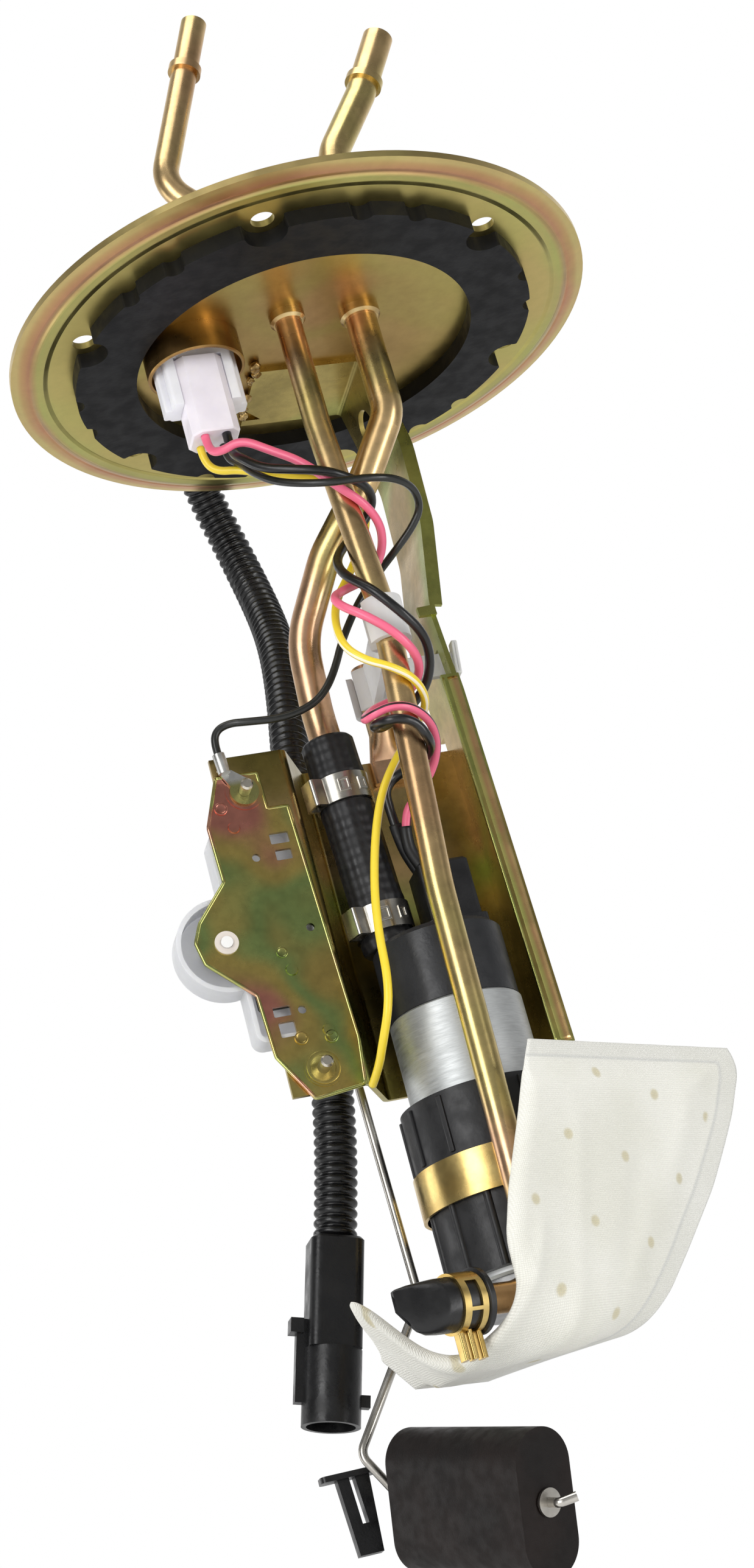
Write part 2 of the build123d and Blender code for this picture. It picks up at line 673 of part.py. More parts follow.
with BuildPart() as sender_bush:
    with BuildSketch(front_plane(ear_y)):
        with Locations((pivot_x, pivot_z)):
            Circle(bush_radius - 0.02)
            Circle(bush_bore, mode=Mode.SUBTRACT)
    extrude(amount=plate_thickness)
    with BuildSketch(front_plane(plate_front_y)):
        with Locations((pivot_x, pivot_z)):
            Circle(bush_radius + 0.5)
            Circle(bush_bore, mode=Mode.SUBTRACT)
    extrude(amount=0.6)
finish(sender_bush, "sender_bush")

for name, spot in (("ground_stud", ground_stud), ("lower_stud", lower_stud)):
    with BuildPart() as stud:
        with BuildSketch(front_plane(ear_y + sheet)):
            with Locations(spot):
                Circle(stud_radius)
        extrude(amount=sheet + plate_thickness + stud_reach)
        chamfer(stud.faces().sort_by(Axis.Y)[0].edges(), 0.5)
        with BuildSketch(front_plane(ear_y + 2 * sheet)):
            with Locations(spot):
                Circle(stud_radius + 1.6)
        extrude(amount=sheet)
    finish(stud, name)

# The nylon housing is a tray behind the plate; its rear wall is the outer bearing of the pivot.
housing_back_y = ear_y + housing_depth
swing_room = 14.0
with BuildPart() as sender_housing:
    with BuildSketch(front_plane(housing_back_y)) as tray:
        with Locations((-49.4, -179.0)):
            RectangleRounded(24.8, 64.0, 3.0)
        with Locations((pivot_x, pivot_z)):
            Circle(swing_room)
    extrude(amount=housing_depth)
    with BuildSketch(front_plane(housing_back_y - housing_wall)):
        offset(tray.sketch, amount=-housing_wall)
    extrude(amount=housing_depth, mode=Mode.SUBTRACT)
    with BuildSketch(front_plane(housing_back_y)):
        with Locations((pivot_x, pivot_z)):
            Circle(bush_bore)
    extrude(amount=housing_wall, mode=Mode.SUBTRACT)
finish(sender_housing, "sender_housing")

card_thickness = 0.8
card_front_y = housing_back_y - housing_wall - card_thickness
with BuildPart() as sender_card:
    with BuildSketch(front_plane(housing_back_y - housing_wall)):
        with Locations((-48.4, -180.0)):
            RectangleRounded(19.0, 40.0, 1.0)
    extrude(amount=card_thickness)
    # the printed resistor track stands a little proud
    with BuildSketch(front_plane(card_front_y)):
        with BuildLine():
            near_arc = RadiusArc((-44.6, -166.0), (-44.6, -196.0), -24.5)
            far_arc = RadiusArc((-41.6, -165.0), (-41.6, -197.0), -27.5)
            Line(near_arc @ 0, far_arc @ 0)
            Line(near_arc @ 1, far_arc @ 1)
        make_face()
    extrude(amount=0.1)
finish(sender_card, "sender_card")

# ---- float arm --------------------------------------------------------------------------------
arm_corner = (-34.0, rod_y, -217.5)
arm_knee = (-32.4, rod_y, -286.0)
arm_ankle = (-58.8, rod_y, -323.5)
arm_heel = (-50.9, rod_y, -337.0)
float_axis = Vector(0.417, -0.869, -0.267).normalized()
float_upright = Vector(-0.077, 0.259, -0.963)
rod_reach = float_length + 10.5
arm_heading = (Vector(*arm_corner) - Vector(pivot_x, rod_y, pivot_z)).normalized()
arm_start = Vector(pivot_x, rod_y, pivot_z) - arm_heading * 5.0
arm_tip = Vector(*arm_heel) + float_axis * rod_reach
hook_end = arm_tip + (float_axis * 2.0 - float_upright * 0.5 + Vector(3.5, 0.5, 0.5))
arm_points = [arm_start, arm_corner, arm_knee, arm_ankle, arm_heel, arm_tip, hook_end]
with BuildPart() as float_arm:
    with BuildLine() as arm_path:
        FilletPolyline(*arm_points, radius=[6, 6, 4, 4, 1.8])
    with BuildSketch(Plane(origin=arm_start, z_dir=arm_heading)):
        Circle(rod_radius)
    sweep(path=arm_path.line)
finish(float_arm, "float_arm")

hub_back_y = rod_y + 0.8
hub_front_y = housing_back_y + 0.3
with BuildPart() as sender_rotor:
    with BuildSketch(front_plane(hub_back_y)):
        with Locations((pivot_x, pivot_z)):
            Circle(6.5)
    extrude(amount=hub_back_y - hub_front_y)
    # two jaws grip the rod along the first stretch of the arm
    jaw_plane = Plane(origin=(pivot_x, hub_back_y, pivot_z), x_dir=arm_heading, z_dir=(0, -1, 0))
    with BuildSketch(jaw_plane):
        with Locations((9.0, 0)):
            RectangleRounded(12.0, 5.6, 1.0)
    extrude(amount=hub_back_y - hub_front_y)
    with BuildSketch(jaw_plane.offset(-1.0)):
        Rectangle(60.0, 2 * (rod_radius + 0.03))
    extrude(amount=hub_back_y - rod_y + rod_radius + 1.05, mode=Mode.SUBTRACT)
    # the pivot pin reaches forward through the housing and the plate's bush
    with BuildSketch(front_plane(hub_front_y)):
        with Locations((pivot_x, pivot_z)):
            Circle(pivot_pin_radius)
    extrude(amount=hub_front_y - plate_front_y + 1.2)
finish(sender_rotor, "sender_rotor")

# The wiper points at the middle of the card's tracks half way through the arm's swing.
wiper_y = card_front_y - 1.0
wiper_heading = Vector(0.766, 0, 0.643)
wiper_root, wiper_tip, wiper_width = 3.0, 21.0, 3.2
with BuildPart() as sender_wiper:
    with BuildSketch(front_plane(wiper_y)):
        with Locations((pivot_x, pivot_z)):
            Circle(3.6)
            Circle(pivot_pin_radius, mode=Mode.SUBTRACT)
    extrude(amount=2.2)
    with BuildSketch(Plane(origin=(pivot_x, wiper_y, pivot_z), x_dir=wiper_heading, z_dir=(0, -1, 0))):
        with Locations(((wiper_root + wiper_tip) / 2, 0)):
            Rectangle(wiper_tip - wiper_root, wiper_width)
        with Locations((wiper_tip - 3.0, 0)):
            Rectangle(8.0, 0.8, mode=Mode.SUBTRACT)
    extrude(amount=0.5)
finish(sender_wiper, "sender_wiper")

float_start = 6.0  # along the rod from the heel, clear of its bend
float_plane = Plane(origin=Vector(*arm_heel) + float_axis * float_start, x_dir=float_upright,
                    z_dir=float_axis)
with BuildPart() as sender_float:
    with BuildSketch(float_plane):
        SlotOverall(float_height, float_width)
        Circle(rod_radius + float_bore_play, mode=Mode.SUBTRACT)
    extrude(amount=float_length)
finish(sender_float, "sender_float")

with BuildPart() as float_washer:
    with BuildSketch(float_plane.offset(float_length + 0.3)):
        Circle(3.6)
        Circle(rod_radius + 0.02, mode=Mode.SUBTRACT)
    extrude(amount=0.8)
finish(float_washer, "float_washer")

# ---- tube clip --------------------------------------------------------------------------------
clip_top_z, clip_height = -98.0, 13.0
clip_tube_x, clip_tube_y = -3.6, -15.0
clip_ring_radius = 6.2
wall_at_clip_x = 21.2
with BuildPart() as tube_clip:
    with BuildSketch(Plane.XY.offset(clip_top_z - clip_height)):
        with Locations((clip_tube_x, clip_tube_y), (brace_x, brace_y)):
            Circle(clip_ring_radius)
        with BuildLine():
            Line((clip_tube_x, clip_tube_y), (brace_x, brace_y))
        trace(line_width=2.6)
        with BuildLine():
            Line((brace_x - 2.2, 6.0), (brace_x + 9.0, clip_slot_y))
        trace(line_width=2.2)
        with Locations((clip_tube_x, clip_tube_y), (brace_x, brace_y)):
            Circle(return_radius + 0.35, mode=Mode.SUBTRACT)
        # the snap openings
        with Locations((clip_tube_x - clip_ring_radius, clip_tube_y + 1.0),
                       (brace_x - clip_ring_radius, brace_y - 1.0)):
            Rectangle(7.0, 4.6, mode=Mode.SUBTRACT)
    extrude(amount=clip_height)
    # arm and arrow barb through the wall
    with BuildSketch(Plane.XY.offset(clip_slot_z - 3.6)):
        with BuildLine():
            Polyline((brace_x + 8.0, clip_slot_y - 1.1), (wall_at_clip_x + 1.2, clip_slot_y - 1.1),
                     (wall_at_clip_x + 1.2, clip_slot_y - 2.4), (wall_at_clip_x + 5.5, clip_slot_y),
                     (wall_at_clip_x + 1.2, clip_slot_y + 2.4), (wall_at_clip_x + 1.2, clip_slot_y + 1.1),
                     (brace_x + 8.0, clip_slot_y + 1.1), close=True)
        make_face()
    extrude(amount=7.2)
finish(tube_clip, "tube_clip")

# ---- check valve on the return tube -----------------------------------------------------------
valve_heading = (Vector(*return_route[-1]) - Vector(*return_route[-2])).normalized()
valve_start = Vector(*return_route[-1]) - valve_heading * 5.3
valve_plane = Plane(origin=valve_start, x_dir=(0, 0, 1), z_dir=valve_heading)
valve_bore = return_radius + 0.1
body_length = 10.5
with BuildPart() as check_valve:
    with BuildSketch(valve_plane.offset(-1.5)):
        Circle(valve_collar_radius)
    extrude(amount=3.0)
    chamfer(check_valve.edges(), 0.6)
    with BuildSketch(valve_plane.offset(1.0)):
        Circle(valve_radius)
    extrude(amount=body_length)
    with BuildSketch(valve_plane.offset(1.0 + body_length)):
        Circle(valve_radius - 0.2)
    with BuildSketch(valve_plane.offset(valve_length)):
        RectangleRounded(1.8, 2 * valve_radius - 0.6, 0.5)
    loft(ruled=True)
    with BuildSketch(valve_plane.offset(-1.5)):
        Circle(valve_bore)
    extrude(amount=8.0, mode=Mode.SUBTRACT)
finish(check_valve, "check_valve")

clamp_inner = valve_radius + 0.05
with BuildPart() as valve_clamp:
    with BuildSketch(valve_plane.offset(2.2)):
        Circle(clamp_inner + 0.8)
        Circle(clamp_inner, mode=Mode.SUBTRACT)
    extrude(amount=7.2)
    # windows round the spring band
    for angle in (35, 95, 215, 275):
        with BuildSketch(valve_plane.offset(4.0)):
            with PolarLocations(clamp_inner + 0.4, 1, start_angle=angle):
                Rectangle(4.0, 7.0)
        extrude(amount=3.4, mode=Mode.SUBTRACT)
    # three prongs to squeeze it with
    for step in (0.2, 3.0, 5.6):
        with BuildSketch(Plane(origin=valve_start + valve_heading * (2.9 + step)
                               + Vector(0, 0, -clamp_inner), z_dir=(0, 0, -1), x_dir=valve_heading)):
            RectangleRounded(1.6, 3.0, 0.5)
        extrude(amount=7.6)
finish(valve_clamp, "valve_clamp")

# ---- strainer ---------------------------------------------------------------------------------
sock_corner = Vector(0.6, -30.0, -237.0)
sock_across = Vector(0.8819, 0.4714, 0)
sock_back = Vector(-0.4714, 0.8819, 0)
sock_drop = 76.0
sock_floor_z = sock_corner.Z - sock_drop + sock_thickness / 2
with BuildPart() as strainer_sock:
    with BuildSketch(Plane(origin=sock_corner - sock_across * 33.0, x_dir=sock_back, z_dir=sock_across)):
        with BuildLine() as fold:
            FilletPolyline((0, 0), (11, -sock_drop), (56, -sock_drop), radius=12)
        trace(fold.line, line_width=sock_thickness)
    extrude(amount=115)
    outline_plane = Plane(origin=sock_corner - sock_back * 10.0, x_dir=sock_across, z_dir=-sock_back)
    with BuildSketch(outline_plane):
        with BuildLine():
            Polyline((0, 2), (71, 0), (80, -8), (73, -21), (59, -42), (45, -59), (33, -72), (26, -90),
                     (-33, -90), (-33, -72), (-23, -56), (-17, -39), close=True)
        make_face()
    extrude(amount=-80, mode=Mode.INTERSECT)
    # room for the check valve's clamp, in front of the folded floor
    with BuildSketch(outline_plane.offset(-(10 + 14))):
        with Locations((-26.0, -76.0)):
            Rectangle(20.0, 28.0)
    extrude(amount=-15, mode=Mode.SUBTRACT)
    # the toe turns up beyond the check valve
    with BuildSketch(outline_plane.offset(-(10 + 36))) as toe:
        with BuildLine():
            Polyline((-32, -73.5), (-36, -71), (-47, -58), (-50.5, -61), (-40, -77.5), (-32, -79), close=True)
        make_face()
    extrude(amount=-17)
finish(strainer_sock, "strainer_sock")

with BuildPart() as strainer_neck:
    with BuildSketch(Plane.XY.offset(sock_floor_z + 0.3)):
        with Locations(pump_spot):
            Circle(inlet_nipple_radius + 2.4)
            Circle(inlet_nipple_radius + seat_gap, mode=Mode.SUBTRACT)
    extrude(amount=inlet_bottom_z - sock_floor_z - 0.3)
    with BuildSketch(Plane.XY.offset(sock_floor_z + 0.3)):
        with Locations(pump_spot):
            Circle(inlet_nipple_radius + 5.0)
            Circle(inlet_nipple_radius + seat_gap, mode=Mode.SUBTRACT)
    extrude(amount=1.4)
finish(strainer_neck, "strainer_neck")

# ---- conduit, harness plug and the loose lock clip --------------------------------------------
with BuildPart() as conduit:
    with BuildLine() as conduit_path:
        FilletPolyline(*conduit_route, radius=bend_radii(conduit_route))
    with BuildSketch(across(conduit_route[0], conduit_route[1])):
        Circle(conduit_radius)
    sweep(path=conduit_path.line)
finish(conduit, "conduit")
print("conduit radii", [round(r, 1) for r in bend_radii(conduit_route)])
print("conduit length", round(conduit_path.wires()[0].length, 1))

plug_heading = (Vector(*conduit_route[-1]) - Vector(*conduit_route[-2])).normalized()
plug_plane = Plane(origin=conduit_route[-1], x_dir=(1, 0, 0), z_dir=plug_heading)
shank_length, barrel_length = 31.0, 21.0
barrel_radius = 8.2
with BuildPart() as harness_plug:
    with BuildSketch(plug_plane):
        RectangleRounded(15.0, 14.6, 3.0)
    extrude(amount=shank_length)
    chamfer(harness_plug.faces().sort_by(Axis.Z)[-1].edges(), 0.8)
    with BuildSketch(plug_plane.offset(shank_length)):
        Circle(barrel_radius)
    extrude(amount=barrel_length)
    with BuildSketch(plug_plane.offset(shank_length)):
        Circle(barrel_radius - 1.4)
    extrude(amount=barrel_length, mode=Mode.SUBTRACT)
    # rib and finger tab on the left, key on the right
    with BuildSketch(plug_plane.offset(shank_length - 8.0)):
        with Locations((-8.6, 0)):
            Rectangle(3.6, 3.4)
    extrude(amount=barrel_length + 2.0)
    with BuildSketch(plug_plane.offset(shank_length - 8.0)):
        with Locations((-10.4, 0)):
            Rectangle(3.6, 5.6)
    extrude(amount=4.0)
    with BuildSketch(plug_plane.offset(shank_length + barrel_length - 9.0)):
        with Locations((8.8, 0)):
            Rectangle(3.6, 3.0)
    extrude(amount=3.4)
finish(harness_plug, "harness_plug")

with BuildPart() as plug_terminals:
    with BuildSketch(plug_plane.offset(shank_length + 0.02)):
        Circle(barrel_radius - 1.42)
    extrude(amount=3.8)
    with BuildSketch(plug_plane.offset(shank_length + 3.8)):
        with GridLocations(4.6, 4.6, 2, 2):
            Circle(0.8)
    extrude(amount=9.0)
finish(plug_terminals, "plug_terminals")

clip_spot = (-61.5, 39.0, -326.0)
with BuildPart() as lock_clip:
    with BuildSketch(Plane(origin=clip_spot, x_dir=(1, 0, 0), z_dir=(0, 0, -1))):
        RectangleRounded(15.5, 6.0, 1.5)
    extrude(amount=1.6)
    with BuildSketch(front_plane(clip_spot[1] + 2.0)):
        with BuildLine():
            Polyline((clip_spot[0] - 3.5, clip_spot[2] - 1.0), (clip_spot[0] + 5.5, clip_spot[2] - 1.0),
                     (clip_spot[0] + 4.5, clip_spot[2] - 22.0), (clip_spot[0] - 2.0, clip_spot[2] - 22.0),
                     close=True)
        make_face()
        with BuildLine():
            Polyline((clip_spot[0] - 0.2, clip_spot[2] - 1.0), (clip_spot[0] + 1.4, clip_spot[2] - 1.0),
                     (clip_spot[0] + 2.4, clip_spot[2] - 14.0), (clip_spot[0] + 0.6, clip_spot[2] - 14.0),
                     close=True)
        make_face(mode=Mode.SUBTRACT)
    extrude(amount=4.0)
finish(lock_clip, "lock_clip")

# ---- wires -------------------------------------------------------------------------------------
# Four leads leave the inner plug and twist round the tubes: two to the pump, one to the sender's
# card and one to the ring terminal on the upper stud.
pink_route = [(-39.0, -8.0, -33.0), (-39.0, -8.0, -38.2), (-36.6, -11.6, -41.0), (-30.9, -15.8, -40.1),
              (-23.7, -18.0, -46.2), (-16.5, -21.0, -52.7), (-8.8, -22.3, -62.8),
              (-1.6, -19.6, -67.5), (3.3, -14.5, -72.0), (4.2, -9.5, -76.6), (2.1, -5.5, -81.2),
              (-3.5, -5.5, -85.8), (-11.6, -10.0, -90.1), (-17.0, -16.0, -94.9),
              (-16.8, -21.0, -100.4), (-11.9, -24.0, -105.5), (-5.3, -24.6, -111.7),
              (0.5, -21.0, -117.0), (3.5, -13.0, -119.6), (1.9, -6.5, -122.1),
              (-3.7, -5.5, -124.6), (-10.3, -6.5, -126.6), (-15.3, -11.0, -130.7),
              (-18.0, -17.0, -134.5), (-16.2, -21.2, -134.8), (-11.0, -22.6, -133.7),
              (-4.9, -21.5, -134.3), (0.8, -16.5, -137.0), (3.6, -9.5, -140.0),
              (3.2, -5.0, -144.2), (0.6, -1.0, -148.4), (-4.0, 2.0, -152.4), (-7.1, 5.0, -155.9),
              (-7.8, 8.0, -163.1)]
black_route = [(-32.5, -8.0, -33.0), (-32.5, -8.0, -39.6), (-32.3, -14.5, -45.3),
               (-27.9, -18.5, -51.9), (-20.5, -23.0, -56.0), (-12.6, -25.6, -58.9),
               (-6.2, -24.0, -60.9), (-1.1, -20.5, -61.6), (2.7, -15.5, -62.0),
               (4.0, -11.0, -63.5), (2.4, -8.0, -66.0), (-1.8, -6.5, -70.5), (-7.7, -8.0, -75.4),
               (-12.7, -14.0, -82.9), (-13.4, -21.0, -91.1), (-9.1, -27.0, -98.8),
               (-3.7, -28.0, -106.4), (3.4, -23.5, -112.5), (6.9, -15.0, -116.4),
               (6.2, -8.0, -121.8), (2.1, -3.2, -125.4), (-4.0, -3.0, -129.2),
               (-10.1, -6.0, -132.8), (-14.1, -11.5, -134.8), (-15.4, -17.5, -136.5),
               (-13.7, -22.3, -137.8), (-9.9, -24.0, -138.3), (-5.1, -22.4, -139.8),
               (-2.4, -20.3, -143.4), (0.1, -13.5, -144.0), (-0.2, -6.0, -144.1),
               (-3.3, 1.0, -143.4), (-6.8, 5.5, -143.4), (-10.2, 7.0, -146.4), (-9.9, 8.5, -152.0),
               (-8.8, 10.0, -161.1)]
yellow_route = [(-39.5, -1.5, -33.0), (-39.5, -1.5, -37.6), (-36.6, -1.4, -41.6), (-30.1, -4.2, -43.4),
                (-21.6, -7.0, -48.5), (-13.0, -8.0, -51.0), (-4.2, -7.5, -53.4),
                (1.1, -8.8, -59.7), (3.2, -5.6, -65.4), (1.3, 3.0, -70.5), (-7.1, -3.0, -82.9),
                (-13.6, -8.0, -91.7), (-17.8, -14.0, -101.6), (-19.0, -19.6, -112.2),
                (-14.9, -22.5, -118.6), (-7.9, -22.5, -121.7), (-1.2, -19.5, -124.9),
                (2.8, -13.0, -128.4), (2.8, -6.0, -130.8), (-2.3, -1.0, -135.4),
                (-10.4, -3.5, -144.9), (-15.6, -4.0, -153.2), (-20.3, -4.0, -165.2),
                (-24.3, -4.0, -179.9), (-26.8, -6.0, -193.1), (-28.1, -8.0, -206.2),
                (-29.9, -7.0, -214.9), (-32.4, -1.0, -222.7), (-33.3, 6.0, -227.2),
                (-34.2, 13.0, -229.4)]
green_route = [(-32.5, -1.5, -33.0), (-32.5, -1.5, -38.0), (-30.4, -7.0, -43.0), (-29.2, -12.5, -49.7),
               (-25.1, -20.0, -58.1), (-13.9, -28.5, -64.9), (-0.3, -29.5, -65.2),
               (8.5, -26.5, -65.3), (14.7, -20.0, -66.0), (16.7, -14.0, -69.1),
               (13.7, -11.0, -73.3), (8.5, -7.0, -77.7), (3.7, 0.0, -80.8), (-3.4, 3.0, -87.3),
               (-12.0, 2.0, -99.7), (-16.4, 2.0, -108.6), (-20.8, 3.0, -114.9),
               (-26.3, 4.0, -118.6), (-34.6, 5.0, -120.3), (-44.8, 8.0, -118.4),
               (-48.8, 10.0, -117.2), (-52.6, 11.4, -118.0),
               (-54.2, 12.0, -121.4), (-53.8, 12.2, -125.4)]
wires = {"wire_pink": (1.3, pink_route), "wire_black": (1.4, black_route),
         "wire_yellow": (1.2, yellow_route), "wire_green": (1.15, green_route)}
for name, (radius, route) in wires.items():
    with BuildPart() as wire:
        with BuildLine() as wire_path:
            FilletPolyline(*route, radius=bend_radii(route))
        with BuildSketch(across(route[0], route[1])):
            Circle(radius)
        sweep(path=wire_path.line)
    finish(wire, name)
    print(name, "length", round(wire_path.wires()[0].length, 1))

# Ring terminal on the upper stud, its crimped barrel on the ground lead.
terminal_seat_y = plate_front_y - 0.4
terminal_sheet = 0.8
terminal_ring_radius = 4.2
tongue_half_width = 1.8
crimp_length, crimp_radius = 6.0, 1.8
barrel_heading = (Vector(*green_route[-1]) - Vector(*green_route[-2])).normalized()
barrel_foot = Vector(*green_route[-1]) + barrel_heading * crimp_length
with BuildPart() as ground_terminal:
    with BuildSketch(front_plane(terminal_seat_y)):
        with Locations(ground_stud):
            Circle(terminal_ring_radius)
        with BuildLine():
            Polyline((ground_stud[0] + tongue_half_width, ground_stud[1] + terminal_ring_radius - 0.6),
                     (barrel_foot.X + tongue_half_width, barrel_foot.Z + tongue_half_width),
                     (barrel_foot.X - tongue_half_width, barrel_foot.Z + tongue_half_width),
                     (ground_stud[0] - terminal_ring_radius + 0.6, ground_stud[1] + tongue_half_width),
                     close=True)
        make_face()
        with Locations(ground_stud):
            Circle(stud_radius + seat_gap, mode=Mode.SUBTRACT)
    extrude(amount=terminal_sheet)
    with BuildSketch(Plane(origin=green_route[-1], z_dir=barrel_heading)):
        Circle(crimp_radius)
    extrude(amount=crimp_length)
finish(ground_terminal, "ground_terminal")
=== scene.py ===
import math

import bpy
from mathutils import Matrix, Vector, noise


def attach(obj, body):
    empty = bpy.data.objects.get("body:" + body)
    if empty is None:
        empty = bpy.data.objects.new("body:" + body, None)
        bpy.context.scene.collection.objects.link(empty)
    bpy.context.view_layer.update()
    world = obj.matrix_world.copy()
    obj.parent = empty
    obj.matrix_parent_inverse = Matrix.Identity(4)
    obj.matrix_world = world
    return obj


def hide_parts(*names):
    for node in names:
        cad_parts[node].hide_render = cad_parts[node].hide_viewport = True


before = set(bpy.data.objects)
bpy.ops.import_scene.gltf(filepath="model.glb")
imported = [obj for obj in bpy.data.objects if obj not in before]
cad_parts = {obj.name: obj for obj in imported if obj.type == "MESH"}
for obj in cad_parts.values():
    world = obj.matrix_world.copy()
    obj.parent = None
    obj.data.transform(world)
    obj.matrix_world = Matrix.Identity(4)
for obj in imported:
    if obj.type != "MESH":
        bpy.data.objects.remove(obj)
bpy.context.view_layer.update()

# ---- camera ----
# The module is looked at from its front left and from a little below, so that the flange's
# underside is seen. The matrix's columns are the camera's right, up and back and its place.
camera_data = bpy.data.cameras.new("camera")
camera_data.lens = 62.9
camera_data.sensor_width = 36
camera = bpy.data.objects.new("camera", camera_data)
camera.matrix_world = Matrix(((0.9502, 0.1516, -0.2724, -0.2252),
                              (-0.1896, -0.4126, -0.8910, -0.6904),
                              (-0.2475, 0.8982, -0.3633, -0.4285),
                              (0, 0, 0, 1)))
bpy.context.scene.collection.objects.link(camera)
bpy.context.scene.camera = camera

# ---- conduit ----
# Corrugated black loom tube that carries the harness from the boot on the flange down to the plug.
# It is blow-moulded nylon, round crests and narrow roots, free along its whole length.


def colour(red, green, blue):
    """A colour named from 0 to 255, as the shader wants it."""
    shares = [c / 255 for c in (red, green, blue)]
    return tuple(((s + 0.055) / 1.055) ** 2.4 if s > 0.04 else s / 12.92 for s in shares) + (1.0,)


def new_material(name):
    material = bpy.data.materials.new(name)
    material.use_nodes = True
    return material


def socket_set(material, **values):
    """Put plain values on the shader's own sockets, by their names with _ for a space."""
    shader = material.node_tree.nodes["Principled BSDF"]
    for name, value in values.items():
        shader.inputs[name.replace("_", " ")].default_value = value


def mottle(material, scale, detail=2.0, rough=0.5, stretch=(1, 1, 1)):
    """Noise read from the piece's own coordinates. Returns its grey output."""
    nodes, links = material.node_tree.nodes, material.node_tree.links
    place = nodes.new("ShaderNodeTexCoord")
    aim = nodes.new("ShaderNodeMapping")
    aim.inputs["Scale"].default_value = stretch
    grain = nodes.new("ShaderNodeTexNoise")
    grain.inputs["Scale"].default_value = scale
    grain.inputs["Detail"].default_value = detail
    grain.inputs["Roughness"].default_value = rough
    links.new(place.outputs["Object"], aim.inputs["Vector"])
    links.new(aim.outputs["Vector"], grain.inputs["Vector"])
    return grain.outputs["Fac"]


def ramp_of(owner, grey, stops, flow="LINEAR"):
    """Send a grey output through a ramp of (place, grey or colour) stops. Returns the ramp's output."""
    ramp = owner.node_tree.nodes.new("ShaderNodeValToRGB")
    ramp.color_ramp.interpolation = flow
    while len(ramp.color_ramp.elements) < len(stops):
        ramp.color_ramp.elements.new(0.5)
    for element, (place, value) in zip(ramp.color_ramp.elements, stops):
        element.position = place
        element.color = value if isinstance(value, tuple) else (value, value, value, 1)
    owner.node_tree.links.new(grey, ramp.inputs["Fac"])
    return ramp.outputs["Color"]


def shade_by(material, grey, stops, target="Base Color"):
    """Send a grey output through a soft ramp to one of the shader's sockets."""
    shader = material.node_tree.nodes["Principled BSDF"]
    material.node_tree.links.new(ramp_of(material, grey, stops, "EASE"), shader.inputs[target])


def emboss(material, grey, strength, depth):
    """Add a height to the surface, on top of any that it already has."""
    nodes, links = material.node_tree.nodes, material.node_tree.links
    normal = nodes["Principled BSDF"].inputs["Normal"]
    bump = nodes.new("ShaderNodeBump")
    bump.inputs["Strength"].default_value = strength
    bump.inputs["Distance"].default_value = depth
    if normal.links:
        links.new(normal.links[0].from_socket, bump.inputs["Normal"])
    links.new(grey, bump.inputs["Height"])
    links.new(bump.outputs["Normal"], normal)


def black_moulding(name, tone=(22, 22, 23), gloss=0.38, texture=1400):
    """Black moulded plastic or rubber: fine moulded grain, a little uneven in gloss."""
    material = new_material(name)
    light = tuple(c + 9 for c in tone)
    shade_by(material, mottle(material, 60, 4), [(0.3, colour(*tone)), (0.75, colour(*light))])
    shade_by(material, mottle(material, 180, 5), [(0.3, gloss - 0.08), (0.7, gloss + 0.12)], "Roughness")
    emboss(material, mottle(material, texture, 3), 0.25, 0.0002)
    return material


def centreline(route):
    """Points along one smooth NURBS line that has the route's points, in mm, as its controls."""
    line = bpy.data.curves.new("line", "CURVE")
    line.dimensions = "3D"
    line.resolution_u = 16
    run = line.splines.new("NURBS")
    run.points.add(len(route) - 1)
    for control, (x, y, z) in zip(run.points, route):
        control.co = (x / 1000, y / 1000, z / 1000, 1)
    run.order_u = 3
    run.use_endpoint_u = True
    holder = bpy.data.objects.new("line", line)
    bpy.context.scene.collection.objects.link(holder)
    read = bpy.data.meshes.new_from_object(holder.evaluated_get(bpy.context.evaluated_depsgraph_get()))
    points = [v.co.copy() for v in read.vertices]
    bpy.data.objects.remove(holder)
    bpy.data.meshes.remove(read)
    return points


def respaced(points, step):
    """The same line, with points at an even spacing."""
    out, left = [points[0].copy()], step
    for a, b in zip(points, points[1:]):
        run, done = (b - a).length, 0.0
        while run - done >= left:
            done += left
            out.append(a.lerp(b, done / run))
            left = step
        left -= run - done
    out.append(points[-1].copy())
    return out


